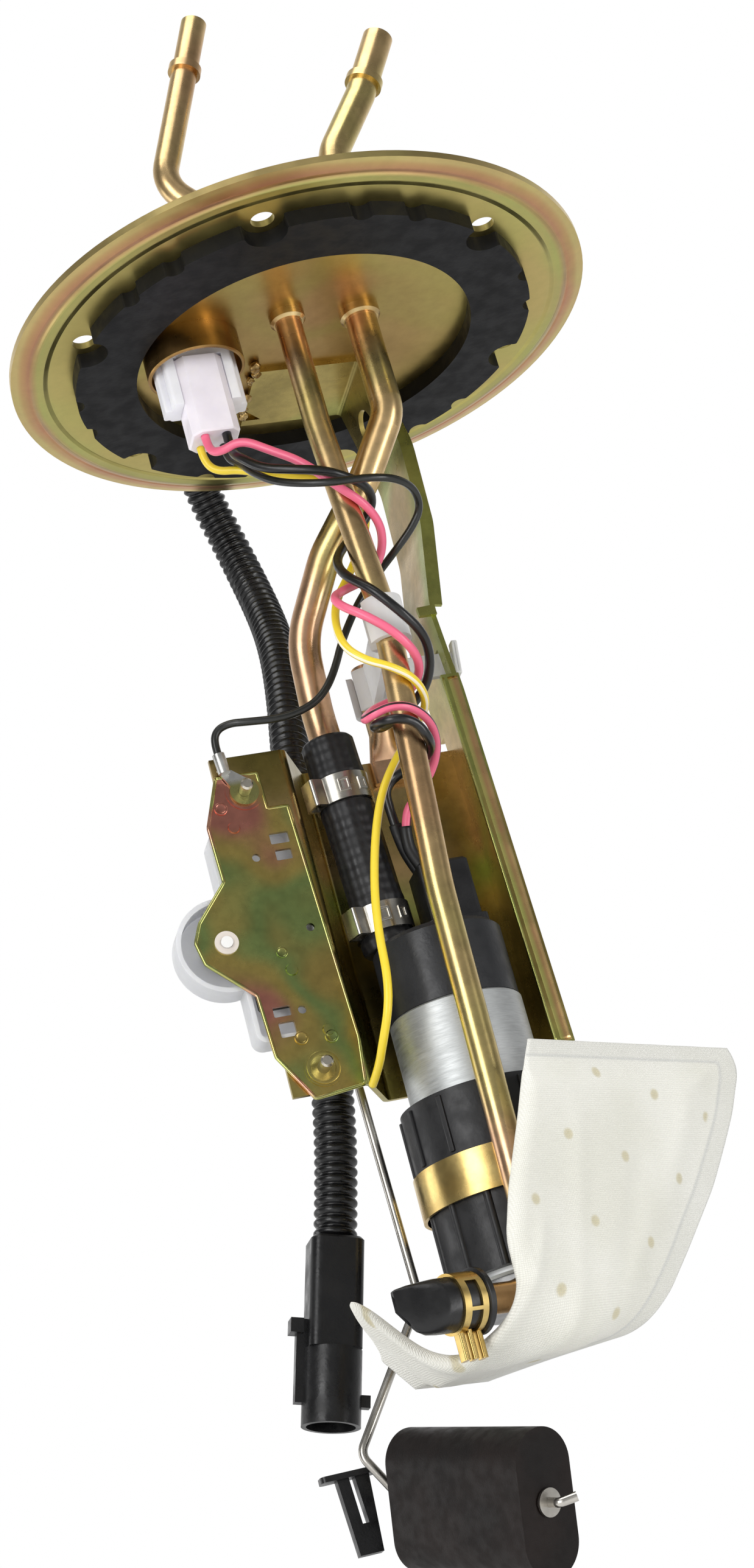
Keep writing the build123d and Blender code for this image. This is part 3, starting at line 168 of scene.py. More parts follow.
def swept(name, points, radius_at, sides, material, twist=0.0):
    """A round tube along points. radius_at(metres along) gives its radius, and twist is in radians a
    metre. Its UV map holds the turn round the tube and the metres along it."""
    tangents = [(b - a).normalized() for a, b in zip(points, points[1:])]
    tangents = [tangents[0]] + [(a + b).normalized() for a, b in zip(tangents, tangents[1:])] + [tangents[-1]]
    side = tangents[0].orthogonal().normalized()
    verts, along, run = [], [], 0.0
    for i, (point, tangent) in enumerate(zip(points, tangents)):
        if i:
            run += (point - points[i - 1]).length
            side = (side - tangent * side.dot(tangent)).normalized()
        up = tangent.cross(side)
        radius = radius_at(run)
        along.append(run)
        for k in range(sides):
            angle = 2 * math.pi * k / sides + twist * run
            verts.append(point + (side * math.cos(angle) + up * math.sin(angle)) * radius)
    faces, uvs = [], []
    for i in range(len(points) - 1):
        for k in range(sides):
            n = (k + 1) % sides
            faces.append((i * sides + k, i * sides + n, (i + 1) * sides + n, (i + 1) * sides + k))
            uvs += [(k / sides, along[i]), ((k + 1) / sides, along[i]),
                    ((k + 1) / sides, along[i + 1]), (k / sides, along[i + 1])]
    last = (len(points) - 1) * sides
    faces.append(tuple(reversed(range(sides))))
    faces.append(tuple(range(last, last + sides)))
    uvs += [(0.5, 0.0)] * sides + [(0.5, along[-1])] * sides
    mesh = bpy.data.meshes.new(name)
    mesh.from_pydata(verts, [], faces)
    layer = mesh.uv_layers.new(name="turn_and_run")
    for corner, uv in zip(layer.data, uvs):
        corner.uv = uv
    mesh.shade_smooth()
    mesh.materials.append(material)
    piece = bpy.data.objects.new(name, mesh)
    bpy.context.scene.collection.objects.link(piece)
    return piece


conduit_route = [(-35.5, 9, 13.5), (-34, 28, 20), (-29, 54, 33.5), (-22.5, 81, 30), (-15.5, 102.5, 12.5),
                 (-6.5, 111, -13), (-4.5, 103, -38.5), (-7.6, 88, -59), (-12.6, 75, -82), (-20.7, 61, -113.5),
                 (-26.2, 53, -147.8), (-32, 49, -187), (-37, 47.5, -221), (-42, 47, -244), (-47, 47, -262)]
crest_radius, root_radius, pitch = 0.0062, 0.0050, 0.0030


def loom_radius(run):
    """Round crests, one to each pitch, with narrower roots between them."""
    wave = 0.5 + 0.5 * math.cos(2 * math.pi * run / pitch)
    return root_radius + (crest_radius - root_radius) * wave ** 0.45


conduit_line = centreline(conduit_route)
loom_black = black_moulding("loom_black", (12, 12, 13), 0.26, 900)
conduit = swept("conduit_loom", respaced(conduit_line, pitch / 10), loom_radius, 28, loom_black)
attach(conduit, "module")
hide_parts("conduit")

# ---- harness plug and boot ----
# The plug on the loom's end, its loose lock clip and the boot that takes the loom into the flange are
# moulded in black nylon and rubber; the plug's pins are brass.


def dress(node, material):
    """Give a node of the frame its material."""
    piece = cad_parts[node]
    for place in piece.material_slots:
        place.material = material
    if not piece.material_slots:
        piece.data.materials.append(material)


def calculate(owner, operation, *values):
    """One Math node. A value may be a number or another node's output."""
    node = owner.node_tree.nodes.new("ShaderNodeMath")
    node.operation = operation
    for socket, value in zip(node.inputs, values):
        if isinstance(value, (int, float)):
            socket.default_value = value
        else:
            owner.node_tree.links.new(value, socket)
    return node.outputs[0]


def tint(material, amount, other, blend="MIX"):
    """Mix another colour over the shader's base colour, by an amount."""
    nodes, links = material.node_tree.nodes, material.node_tree.links
    base = nodes["Principled BSDF"].inputs["Base Color"]
    mix = nodes.new("ShaderNodeMix")
    mix.data_type = "RGBA"
    mix.blend_type = blend
    links.new(base.links[0].from_socket, mix.inputs["A"])
    for socket, value in ((mix.inputs["Factor"], amount), (mix.inputs["B"], other)):
        if isinstance(value, (int, float, tuple)):
            socket.default_value = value
        else:
            links.new(value, socket)
    links.new(mix.outputs["Result"], base)


def metal(name, stops, gloss=(0.24, 0.34), patch=30, grain=1600, relief=0.04, stretch=(1, 1, 1)):
    """Bare or plated metal: its tone drifts softly, with a fine grain and small dull spots."""
    material = new_material(name)
    socket_set(material, Metallic=1.0)
    shade_by(material, mottle(material, patch, 1.5, 0.45), stops)
    spots = mottle(material, 260, 4, 0.65, stretch)
    tint(material, 1.0, ramp_of(material, spots, [(0.30, 0.80), (0.62, 1.0)]), "MULTIPLY")
    shade_by(material, mottle(material, 90, 4, 0.6, stretch), [(0.3, gloss[0]), (0.7, gloss[1])], "Roughness")
    emboss(material, mottle(material, grain, 2, 0.5, stretch), relief, 0.0001)
    return material


dress("harness_plug", black_moulding("plug_black", (13, 13, 14), 0.30, 1100))
dress("conduit_boot", black_moulding("boot_rubber", (24, 24, 25), 0.5, 900))
dress("lock_clip", black_moulding("clip_black", (13, 13, 14), 0.32, 1300))
dress("plug_terminals", metal("pin_brass", [(0.3, colour(200, 170, 90)), (0.7, colour(225, 200, 120))]))

# ---- wires ----
# Four PVC-covered leads from the inner plug: pink with a black tracer and black go to the pump,
# yellow with a white tracer to the sender, black with a green tracer to the ring terminal.


def axes_of(material, source):
    """The X, Y and Z outputs of the piece's Object coordinates, or of its UV map."""
    nodes, links = material.node_tree.nodes, material.node_tree.links
    split = nodes.new("ShaderNodeSeparateXYZ")
    links.new(nodes.new("ShaderNodeTexCoord").outputs[source], split.inputs["Vector"])
    return split.outputs


def insulation(name, ground, tracer, half_width):
    """Extruded PVC with one painted tracer line along it, half_width of a turn to each side."""
    material = new_material(name)
    away = calculate(material, "ABSOLUTE", calculate(material, "SUBTRACT", axes_of(material, "UV")["X"], 0.5))
    shade_by(material, away, [(0.0, tracer), (half_width, tracer), (half_width + 0.012, ground)])
    socket_set(material, Coat_Weight=0.25, Coat_Roughness=0.2)
    shade_by(material, mottle(material, 500, 3), [(0.3, 0.28), (0.7, 0.42)], "Roughness")
    emboss(material, mottle(material, 700, 2), 0.12, 0.0002)
    return material


# Each lead: its radius in mm, its ground and tracer colours, half the tracer's width in turns, its twist
# in radians a metre, and its route in mm.
leads = {
    "pink": (1.3, colour(238, 106, 138), colour(40, 16, 24), 0.045, 14.0,
             [(-39.0, -8.0, -33.0), (-39.0, -8.0, -38.2), (-36.6, -11.6, -41.0), (-30.9, -15.8, -40.1),
              (-23.7, -18.0, -46.2), (-16.5, -21.0, -52.7), (-8.8, -22.3, -62.8),
              (-1.6, -19.6, -67.5), (3.3, -14.5, -72.0), (4.2, -9.5, -76.6), (2.1, -5.5, -81.2),
              (-3.5, -5.5, -85.8), (-11.6, -10.0, -90.1), (-17.0, -16.0, -94.9),
              (-16.8, -21.0, -100.4), (-11.9, -24.0, -105.5), (-5.3, -24.6, -111.7),
              (0.5, -21.0, -117.0), (3.5, -13.0, -119.6), (1.9, -6.5, -122.1),
              (-3.7, -5.5, -124.6), (-10.3, -6.5, -126.6), (-15.3, -11.0, -130.7),
              (-18.0, -17.0, -134.5), (-16.2, -21.2, -134.8), (-11.0, -22.6, -133.7),
              (-4.9, -21.5, -134.3), (0.8, -16.5, -137.0), (3.6, -9.5, -140.0),
              (3.2, -5.0, -144.2), (0.6, -1.0, -148.4), (-4.0, 2.0, -152.4), (-7.1, 5.0, -155.9),
              (-7.8, 8.0, -163.1)]),
    "black": (1.4, colour(14, 14, 15), colour(14, 14, 15), 0.02, 0.0,
              [(-32.5, -8.0, -33.0), (-32.5, -8.0, -39.6), (-32.3, -14.5, -45.3),
               (-27.9, -18.5, -51.9), (-20.5, -23.0, -56.0), (-12.6, -25.6, -58.9),
               (-6.2, -24.0, -60.9), (-1.1, -20.5, -61.6), (2.7, -15.5, -62.0),
               (4.0, -11.0, -63.5), (2.4, -8.0, -66.0), (-1.8, -6.5, -70.5), (-7.7, -8.0, -75.4),
               (-12.7, -14.0, -82.9), (-13.4, -21.0, -91.1), (-9.1, -27.0, -98.8),
               (-3.7, -28.0, -106.4), (3.4, -23.5, -112.5), (6.9, -15.0, -116.4),
               (6.2, -8.0, -121.8), (2.1, -3.2, -125.4), (-4.0, -3.0, -129.2),
               (-10.1, -6.0, -132.8), (-14.1, -11.5, -134.8), (-15.4, -17.5, -136.5),
               (-13.7, -22.3, -137.8), (-9.9, -24.0, -138.3), (-5.1, -22.4, -139.8),
               (-2.4, -20.3, -143.4), (0.1, -13.5, -144.0), (-0.2, -6.0, -144.1),
               (-3.3, 1.0, -143.4), (-6.8, 5.5, -143.4), (-10.2, 7.0, -146.4), (-9.9, 8.5, -152.0),
               (-8.8, 10.0, -161.1)]),
    "yellow": (1.2, colour(240, 212, 52), colour(246, 240, 214), 0.05, -12.0,
               [(-39.5, -1.5, -33.0), (-39.5, -1.5, -37.6), (-36.6, -1.4, -41.6), (-30.1, -4.2, -43.4),
                (-21.6, -7.0, -48.5), (-13.0, -8.0, -51.0), (-4.2, -7.5, -53.4),
                (1.1, -8.8, -59.7), (3.2, -5.6, -65.4), (1.3, 3.0, -70.5), (-7.1, -3.0, -82.9),
                (-13.6, -8.0, -91.7), (-17.8, -14.0, -101.6), (-19.0, -19.6, -112.2),
                (-14.9, -22.5, -118.6), (-7.9, -22.5, -121.7), (-1.2, -19.5, -124.9),
                (2.8, -13.0, -128.4), (2.8, -6.0, -130.8), (-2.3, -1.0, -135.4),
                (-10.4, -3.5, -144.9), (-15.6, -4.0, -153.2), (-20.3, -4.0, -165.2),
                (-24.3, -4.0, -179.9), (-26.8, -6.0, -193.1), (-28.1, -8.0, -206.2),
                (-29.9, -7.0, -214.9), (-32.4, -1.0, -222.7), (-33.3, 6.0, -227.2),
                (-34.2, 13.0, -229.4)]),
    "green": (1.15, colour(20, 22, 18), colour(112, 132, 70), 0.07, 10.0,
              [(-32.5, -1.5, -33.0), (-32.5, -1.5, -38.0), (-30.4, -7.0, -43.0), (-29.2, -12.5, -49.7),
               (-25.1, -20.0, -58.1), (-13.9, -28.5, -64.9), (-0.3, -29.5, -65.2),
               (8.5, -26.5, -65.3), (14.7, -20.0, -66.0), (16.7, -14.0, -69.1),
               (13.7, -11.0, -73.3), (8.5, -7.0, -77.7), (3.7, 0.0, -80.8), (-3.4, 3.0, -87.3),
               (-12.0, 2.0, -99.7), (-16.4, 2.0, -108.6), (-20.8, 3.0, -114.9),
               (-26.3, 4.0, -118.6), (-34.6, 5.0, -120.3), (-44.8, 8.0, -118.4),
               (-48.8, 10.0, -117.2), (-52.6, 11.4, -118.0), (-54.2, 12.0, -121.4),
               (-53.8, 12.2, -125.4)]),
}
for lead, (radius, ground, tracer, half_width, twist, route) in leads.items():
    wire = swept("lead_" + lead, respaced(centreline(route), 0.0007), lambda run, r=radius / 1000: r, 14,
                 insulation(lead + "_pvc", ground, tracer, half_width), twist)
    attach(wire, "module")
    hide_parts("wire_" + lead)

# Shrunk black covers close the pump leads' crimps where they enter the pump's plug.
cover_radius = 0.00185
cover_routes = {"pink": [(-7.4, 6.4, -158.6), (-7.8, 8, -163.5), (-6.4, 9, -167.5), (-4.6, 9.2, -171.5)],
                "black": [(-9.4, 9, -156.6), (-8.8, 10, -161.5), (-6.6, 12.6, -167), (-4.4, 13.2, -171.5)]}
cover_rubber = black_moulding("cover_rubber", (16, 16, 17), 0.4, 900)
for lead, route in cover_routes.items():
    cover = swept("crimp_cover_" + lead, respaced(centreline(route), 0.0008), lambda run: cover_radius, 16,
                  cover_rubber)
    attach(cover, "module")

# ---- flange, cup and tubes ----
# The flange is a pressed steel disc with a coned rim; cup, tubes and brace are brazed into it and
# the whole is zinc plated and yellow chromated, which dries in drifting gold, green and copper.
flange_zinc = metal("flange_zinc", [(0.34, colour(176, 148, 92)), (0.46, colour(204, 176, 112)),
                                    (0.56, colour(196, 184, 108)), (0.68, colour(208, 168, 118))],
                    (0.28, 0.38), 20)
# Across the flange, as shares of 90 mm: brown where the tubes were brazed, olive gold beyond the
# gasket, then green, rose and gold bands on the coned rim, with a pressed ring inside the cone.
flange_reach = 0.090
flange_axes = axes_of(flange_zinc, "Object")
reach_squared = calculate(flange_zinc, "ADD",
                          calculate(flange_zinc, "MULTIPLY", flange_axes["X"], flange_axes["X"]),
                          calculate(flange_zinc, "MULTIPLY", flange_axes["Y"], flange_axes["Y"]))
reach = calculate(flange_zinc, "DIVIDE", calculate(flange_zinc, "SQRT", reach_squared), flange_reach)
wander = calculate(flange_zinc, "MULTIPLY", mottle(flange_zinc, 14, 2), 0.05)
bands = ramp_of(flange_zinc, calculate(flange_zinc, "ADD", reach, wander),
                [(0.0, colour(146, 108, 62)), (0.42, colour(158, 128, 74)), (0.66, colour(190, 174, 98)),
                 (0.88, colour(206, 196, 118)), (0.932, colour(190, 196, 118)),
                 (0.962, colour(206, 138, 118)), (0.985, colour(214, 168, 122)),
                 (1.0, colour(228, 206, 142))])
tint(flange_zinc, 0.62, bands)
pressed_ring = ramp_of(flange_zinc, reach, [(0.0, 0.0), (0.868, 0.0), (0.884, 1.0), (0.912, 0.9),
                                            (0.928, 0.0), (0.94, 0.4), (1.0, 0.4)])
emboss(flange_zinc, pressed_ring, 0.8, 0.0012)
dress("flange_plate", flange_zinc)
dress("connector_cup", metal("cup_zinc", [(0.3, colour(140, 108, 64)), (0.5, colour(176, 138, 84)),
                                          (0.7, colour(156, 118, 70))], (0.26, 0.36), 60))
tube_zinc = metal("tube_zinc", [(0.32, colour(212, 174, 128)), (0.44, colour(228, 196, 142)),
                                (0.54, colour(218, 198, 132)), (0.66, colour(222, 180, 144)),
                                (0.78, colour(200, 170, 112))], (0.24, 0.33), 16, 1800, 0.03)
for tube in ("supply_tube", "return_tube", "brace_tube"):
    dress(tube, tube_zinc)
collar_braze = metal("collar_braze", [(0.3, colour(190, 156, 100)), (0.7, colour(220, 194, 140))],
                     (0.25, 0.4), 160, 700, 0.3)
for collar in ("supply_collar", "return_collar"):
    dress(collar, collar_braze)

# ---- gasket ----
# A flat moulded ring of black nitrile rubber under the flange, notched beside the bolt holes. The
# bolts squeeze it between the flange and the tank.
gasket_rubber = black_moulding("gasket_rubber", (13, 13, 15), 0.5, 700)
socket_set(gasket_rubber, Specular_IOR_Level=0.2)
dress("flange_gasket", gasket_rubber)

# ---- tank connector ----
# The socket and the plug in it are moulded in natural white nylon, a little see-through at thin
# edges. The socket is snapped into the flange's cup.


def nylon(name, tone=(236, 236, 242), thin=0.0):
    """Natural nylon, milky and a little glossy. thin is the share of light that passes right through."""
    material = new_material(name)
    pale = [min(255, c + 10) for c in tone]
    shade_by(material, mottle(material, 90, 3), [(0.3, colour(*tone)), (0.7, colour(*pale))])
    socket_set(material, Subsurface_Weight=0.35, Subsurface_Radius=(0.004, 0.004, 0.005),
               Subsurface_Scale=1.0, Transmission_Weight=thin, IOR=1.35)
    shade_by(material, mottle(material, 240, 3), [(0.3, 0.30), (0.7, 0.42)], "Roughness")
    emboss(material, mottle(material, 900, 2), 0.1, 0.0002)
    return material


dress("tank_connector", nylon("socket_nylon"))
dress("wire_plug", nylon("wire_plug_nylon", (236, 230, 238)))

# ---- tube clip ----
# A white nylon clip holds the two tubes and the brace side by side. Its hollow barb is pushed through
# the bracket's wall and tapers to its foot.
clip_white = (238, 238, 238)
barb_size = (8.5, 5.0, 11.0)
barb_foot_share = (0.22, 0.7, 1.0)
barb_foot_corner = (-0.00425, 0, -0.0055)
barb_border, barb_hollow, barb_edge = 0.0009, 0.0016, 0.0003
barb_place, barb_tilt = (0.0295, 0.0205, -0.1030), math.radians(6)


def pick_faces(piece, toward):
    """Go into edit mode with only the faces that point one way selected."""
    for face in piece.data.polygons:
        face.select = face.normal.dot(Vector(toward)) > 0.8
    bpy.ops.object.mode_set(mode="EDIT")
    bpy.ops.mesh.select_mode(type="FACE")


def sink_face(piece, toward, border, depth, edge):
    """Push in the middle of the faces that point one way, leave a border, and round every edge."""
    pick_faces(piece, toward)
    bpy.ops.mesh.inset(thickness=border)
    bpy.ops.mesh.extrude_region_move(TRANSFORM_OT_translate={"value": tuple(-depth * Vector(toward))})
    bpy.ops.mesh.select_all(action="SELECT")
    bpy.ops.mesh.bevel(offset=edge, segments=2)
    bpy.ops.object.mode_set(mode="OBJECT")


bpy.ops.object.select_all(action="DESELECT")
bpy.ops.mesh.primitive_cube_add(size=0.001, location=(0, 0, 0))
barb = bpy.context.object
barb.name = "clip_barb"
barb.scale = barb_size
bpy.ops.object.transform_apply(scale=True)
pick_faces(barb, (0, 0, -1))
bpy.ops.transform.resize(value=barb_foot_share, center_override=barb_foot_corner)
bpy.ops.mesh.select_all(action="DESELECT")
bpy.ops.object.mode_set(mode="OBJECT")
sink_face(barb, (0, -1, 0), barb_border, barb_hollow, barb_edge)
barb.data.transform(Matrix.Translation(barb_place) @ Matrix.Rotation(barb_tilt, 4, "Y"))
barb.data.materials.append(nylon("clip_barb_nylon", clip_white, 0.25))
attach(barb, "module")
dress("tube_clip", nylon("tube_clip_nylon", clip_white, 0.3))

# ---- bracket ----
# One folded steel sheet: a foot welded to the flange, a side wall, a rear web with ears and a tongue
# that the pump is strapped to. Plated with the flange.
dress("bracket", metal("bracket_zinc", [(0.34, colour(156, 138, 78)), (0.45, colour(190, 170, 100)),
                                        (0.53, colour(176, 180, 100)), (0.62, colour(200, 172, 118)),
                                        (0.74, colour(140, 126, 68))], (0.24, 0.34), 15))
# The wall's front lip is rolled over its whole width and sheared sharp along its inner side. The
# chromate dried in green, gold and rose stripes along it, which lean out with the lip as it goes down.
# Its tones are painted paler than the bracket's and lighten towards the roll's outer side: painted highlight.
lip_gold_and_highlight = metal("lip_gold_and_highlight", [(0.34, colour(206, 180, 110)), (0.46, colour(222, 170, 128)),
                              (0.56, colour(196, 196, 112)), (0.70, colour(226, 196, 130))], (0.22, 0.32), 40)
lip_lean, lip_inner_side, lip_width = 0.0212, 0.0164, 0.0048
lip_axes = axes_of(lip_gold_and_highlight, "Object")
upright = calculate(lip_gold_and_highlight, "ADD", lip_axes["X"], calculate(lip_gold_and_highlight, "MULTIPLY", lip_axes["Z"], lip_lean))
lip_wander = calculate(lip_gold_and_highlight, "MULTIPLY", mottle(lip_gold_and_highlight, 30, 2), 0.0008)
wandering = calculate(lip_gold_and_highlight, "ADD", upright, lip_wander)
lip_across = calculate(lip_gold_and_highlight, "SUBTRACT", wandering, lip_inner_side)
# The stripes are chromate colours, painted paler step by step across the lip: a painted highlight on the
# roll.
stripes_and_highlight = ramp_of(lip_gold_and_highlight, calculate(lip_gold_and_highlight, "DIVIDE", lip_across, lip_width),
                  [(0.0, colour(196, 206, 120)), (0.28, colour(214, 212, 124)), (0.50, colour(226, 178, 126)),
                   (0.72, colour(232, 196, 134)), (0.95, colour(236, 216, 160))])
tint(lip_gold_and_highlight, 0.75, stripes_and_highlight)
# (name, top, foot, radius) in mm. The roll is pressed flat to a share of its depth.
lip_steps, roll_depth, roll_flat = 90, 0.0127, 0.4
for name, top, foot, radius in (("lip_roll", (20.75, 12.7, -112.0), (23.2, 12.7, -227.5), 2.4),
                                ("lip_edge", (17.9, 12.4, -112.0), (20.2, 12.4, -227.5), 0.5)):
    lip_line = [Vector(top).lerp(Vector(foot), k / lip_steps) / 1000 for k in range(lip_steps + 1)]
    lip = swept(name, lip_line, lambda run, r=radius / 1000: r, 14, lip_gold_and_highlight)
    if name == "lip_roll":
        lip.data.transform(Matrix.Translation((0, roll_depth, 0)) @ Matrix.Scale(roll_flat, 4, (0, 1, 0))
                           @ Matrix.Translation((0, -roll_depth, 0)))
    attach(lip, "module")
# Lumpy beads of weld along the foot's left side: (x, y, radius) in mm, and how much longer than wide.
bead_metal = metal("bead_metal", [(0.3, colour(150, 118, 70)), (0.7, colour(206, 176, 118))],
                   (0.22, 0.4), 300, 900, 0.3)
bead_height, bead_lump = -0.0012, 0.0005
beads = [(-13.4, 9.5, 1.7, 1.5), (-12.4, 13.2, 1.4, 1.2), (-13.8, 17.0, 1.2, 1.6),
         (-13.2, 27.0, 1.3, 1.7), (-13.9, 33.0, 1.7, 1.3), (-12.8, 37.5, 1.5, 1.6)]
for number, (x, y, radius, long) in enumerate(beads):
    bpy.ops.object.select_all(action="DESELECT")
    bpy.ops.mesh.primitive_ico_sphere_add(subdivisions=4, radius=radius / 1000,
                                          location=(x / 1000, y / 1000, bead_height))
    bead = bpy.context.object
    bead.name = "weld_bead_%d" % number
    bead.scale = (1.0, long, 0.8)
    bpy.ops.object.transform_apply(location=True, rotation=True, scale=True)
    for vertex in bead.data.vertices:
        swell = noise.noise(vertex.co * 900 + Vector((number, 0, 0)))
        vertex.co += vertex.normal * swell * bead_lump
    bead.data.shade_smooth()
    bead.data.materials.append(bead_metal)
    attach(bead, "module")

# ---- sender ----
# A slotted zinc-plated plate carries a white nylon housing with the resistor card, the wiper's rotor
# and its steel float arm. Two steel studs rivet it to the bracket's ears.
sender_zinc = metal("sender_zinc", [(0.34, colour(186, 158, 92)), (0.44, colour(198, 174, 100)),
                                    (0.51, colour(158, 178, 108)), (0.58, colour(204, 182, 104)),
                                    (0.68, colour(212, 142, 124))], (0.20, 0.30), 26)
dress("sender_plate", sender_zinc)
# The plate's blanked edge is a little rolled: its outline as (x, z) in mm, at the plate's middle.
plate_middle, plate_face, edge_radius = 15.45, 0.015, 0.00062
plate_outline = [(-55.5, -131.5), (-43.5, -131.5), (-43, -143), (-37, -143), (-34, -214.5), (-35.5, -228),
                 (-50, -229.5), (-58, -216), (-59, -197.5), (-71, -186), (-72.4, -179.5), (-70, -174),
                 (-60.4, -163), (-61, -146), (-55.5, -131.5)]
edge_line = respaced([Vector((x, plate_middle, z)) / 1000 for x, z in plate_outline], 0.0008)
# The edge's gold is paler and glossier than the plate's zinc: a painted highlight along the rolled edge.
edge_gold_and_highlight = metal("edge_gold_and_highlight", [(0.35, colour(214, 188, 120)), (0.55, colour(190, 196, 120)),
                                (0.7, colour(222, 168, 140))], (0.18, 0.28), 60)
plate_edge = swept("plate_edge", edge_line, lambda run: edge_radius, 12, edge_gold_and_highlight)
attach(plate_edge, "module")
# Dimpled bosses pressed into its front: (x, z, radius, height) in mm.
boss_border_share, boss_dimple_share, boss_edge = 0.28, 0.4, 0.00012
bosses = [(-46.0, -221.5, 4.8, 0.7), (-56.3, -141.0, 1.9, 0.5), (-50.0, -212.0, 1.9, 0.5),
          (-41.5, -213.0, 1.9, 0.5), (-49.3, -186.5, 1.6, 0.4)]
for number, (x, z, radius, tall) in enumerate(bosses):
    bpy.ops.object.select_all(action="DESELECT")
    bpy.ops.mesh.primitive_cylinder_add(vertices=48, radius=radius / 1000, depth=tall / 1000)
    boss = bpy.context.object
    boss.name = "plate_boss_%d" % number
    sink_face(boss, (0, 0, 1), radius * boss_border_share / 1000, boss_dimple_share * tall / 1000, boss_edge)
    boss_place = Matrix.Translation((x / 1000, plate_face - tall / 2000, z / 1000))
    boss.data.transform(boss_place @ Matrix.Rotation(math.radians(90), 4, "X"))
    boss.data.materials.append(sender_zinc)
    bpy.ops.object.shade_smooth_by_angle(angle=math.radians(30))
    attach(boss, "module")
stud_steel = metal("stud_steel", [(0.3, colour(196, 190, 176)), (0.7, colour(226, 220, 206))],
                   (0.22, 0.34), 120)
for stud in ("ground_stud", "lower_stud"):
    dress(stud, stud_steel)
# The ring terminal took the plate's chromate below ring_top, in metres; its crimp stayed bright tin.
ring_top = -0.1330
terminal_tin = metal("terminal_tin", [(0.3, colour(190, 190, 186)), (0.7, colour(222, 222, 218))],
                     (0.25, 0.4), 120)
below = calculate(terminal_tin, "SUBTRACT", axes_of(terminal_tin, "Object")["Z"], ring_top)
below = calculate(terminal_tin, "MULTIPLY", below, -400.0)
tint(terminal_tin, ramp_of(terminal_tin, below, [(0.0, 0.0), (0.8, 0.9)]), colour(170, 168, 92))
dress("ground_terminal", terminal_tin)
dress("sender_bush", nylon("bush_nylon", (214, 204, 196)))
dress("sender_housing", nylon("housing_nylon", (232, 233, 236), 0.4))
dress("sender_rotor", nylon("rotor_nylon", (228, 228, 228)))
dress("sender_card", black_moulding("card_ceramic", (70, 74, 70), 0.45, 600))
dress("sender_wiper", metal("wiper_steel", [(0.3, colour(180, 176, 168)), (0.7, colour(214, 210, 202))]))
arm_steel = metal("arm_steel", [(0.3, colour(176, 172, 164)), (0.7, colour(214, 210, 202))], (0.2, 0.32), 80)
for node in ("float_arm", "float_washer"):
    dress(node, arm_steel)

# ---- float ----
# A block of closed-cell nitrile foam, brown black, cut from sheet with rounded edges. It turns on the
# arm's bent end, behind a pressed-on washer.
foam = new_material("float_foam_skin")
shade_by(foam, mottle(foam, 70, 4), [(0.3, colour(16, 11, 9)), (0.7, colour(26, 18, 15))])
shade_by(foam, mottle(foam, 300, 3), [(0.3, 0.42), (0.7, 0.6)], "Roughness")
emboss(foam, mottle(foam, 2200, 3, 0.7), 0.3, 0.0002)
socket_set(foam, Specular_IOR_Level=0.22)
dress("sender_float", foam)

# ---- pump ----
# A rolled aluminium can crimped over a black end cap and a cast inlet cap, held in a ribbed rubber
# sleeve by a gold-plated strap. The motor and the impeller are inside.
dress("pump_can", metal("can_metal", [(0.3, colour(200, 203, 203)), (0.7, colour(226, 228, 228))],
                        (0.44, 0.54), 30, 900, 0.12, (1, 1, 14)))
dress("pump_top_cap", black_moulding("cap_plastic", (30, 31, 34), 0.40, 1100))
cast_tones = [(0.3, colour(150, 150, 150)), (0.7, colour(180, 180, 180))]
dress("pump_inlet_cap", metal("inlet_cast", cast_tones, (0.4, 0.55), 120, 600, 0.4))
sleeve_rubber = black_moulding("sleeve_rubber", (16, 16, 18), 0.44, 800)
dress("pump_sleeve", sleeve_rubber)
# One rib is made to the right of the pump's axis, then copied round the sleeve.
rib_count, rib_size, rib_reach, rib_edge = 12, (1.3, 1.7, 16.0), 0.0226, 0.0004
sleeve_middle = (-0.0055, 0.014, -0.248)
bpy.ops.object.select_all(action="DESELECT")
bpy.ops.mesh.primitive_cube_add(size=0.001, location=(rib_reach, 0, 0))
rib = bpy.context.object
rib.scale = rib_size
bpy.ops.object.transform_apply(location=True, rotation=True, scale=True)
bpy.ops.object.mode_set(mode="EDIT")
bpy.ops.mesh.select_all(action="SELECT")
bpy.ops.mesh.bevel(offset=rib_edge, segments=2)
bpy.ops.object.mode_set(mode="OBJECT")
sleeve_ribs = [rib] + [rib.copy() for number in range(1, rib_count)]
for number, rib in enumerate(sleeve_ribs):
    if number:
        rib.data = rib.data.copy()
        bpy.context.scene.collection.objects.link(rib)
for number, rib in enumerate(sleeve_ribs):
    turn = Matrix.Rotation(math.radians((number + 0.5) * 360 / rib_count), 4, "Z")
    rib.data.transform(Matrix.Translation(sleeve_middle) @ turn)
    rib.select_set(True)
bpy.context.view_layer.objects.active = sleeve_ribs[0]
bpy.ops.object.join()
ribs = bpy.context.object
ribs.name = "sleeve_ribs"
ribs.data.materials.append(sleeve_rubber)
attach(ribs, "module")
dress("pump_strap", metal("strap_zinc", [(0.3, colour(196, 160, 88)), (0.5, colour(226, 198, 128)),
                                         (0.7, colour(206, 170, 100))], (0.2, 0.32), 50))
dress("pump_terminal_block", black_moulding("block_plastic", (18, 18, 20), 0.4))
dress("pump_plug", black_moulding("pump_plug_plastic", (18, 18, 20), 0.36))
dress("pump_magnets", black_moulding("magnet_ferrite", (60, 60, 62), 0.6))
dress("pump_armature", metal("armature_copper", [(0.3, colour(176, 110, 72)), (0.7, colour(210, 140, 96))]))
dress("pump_impeller", black_moulding("impeller_plastic", (50, 50, 52), 0.4))
dress("pump_chamber", metal("chamber_cast", cast_tones))

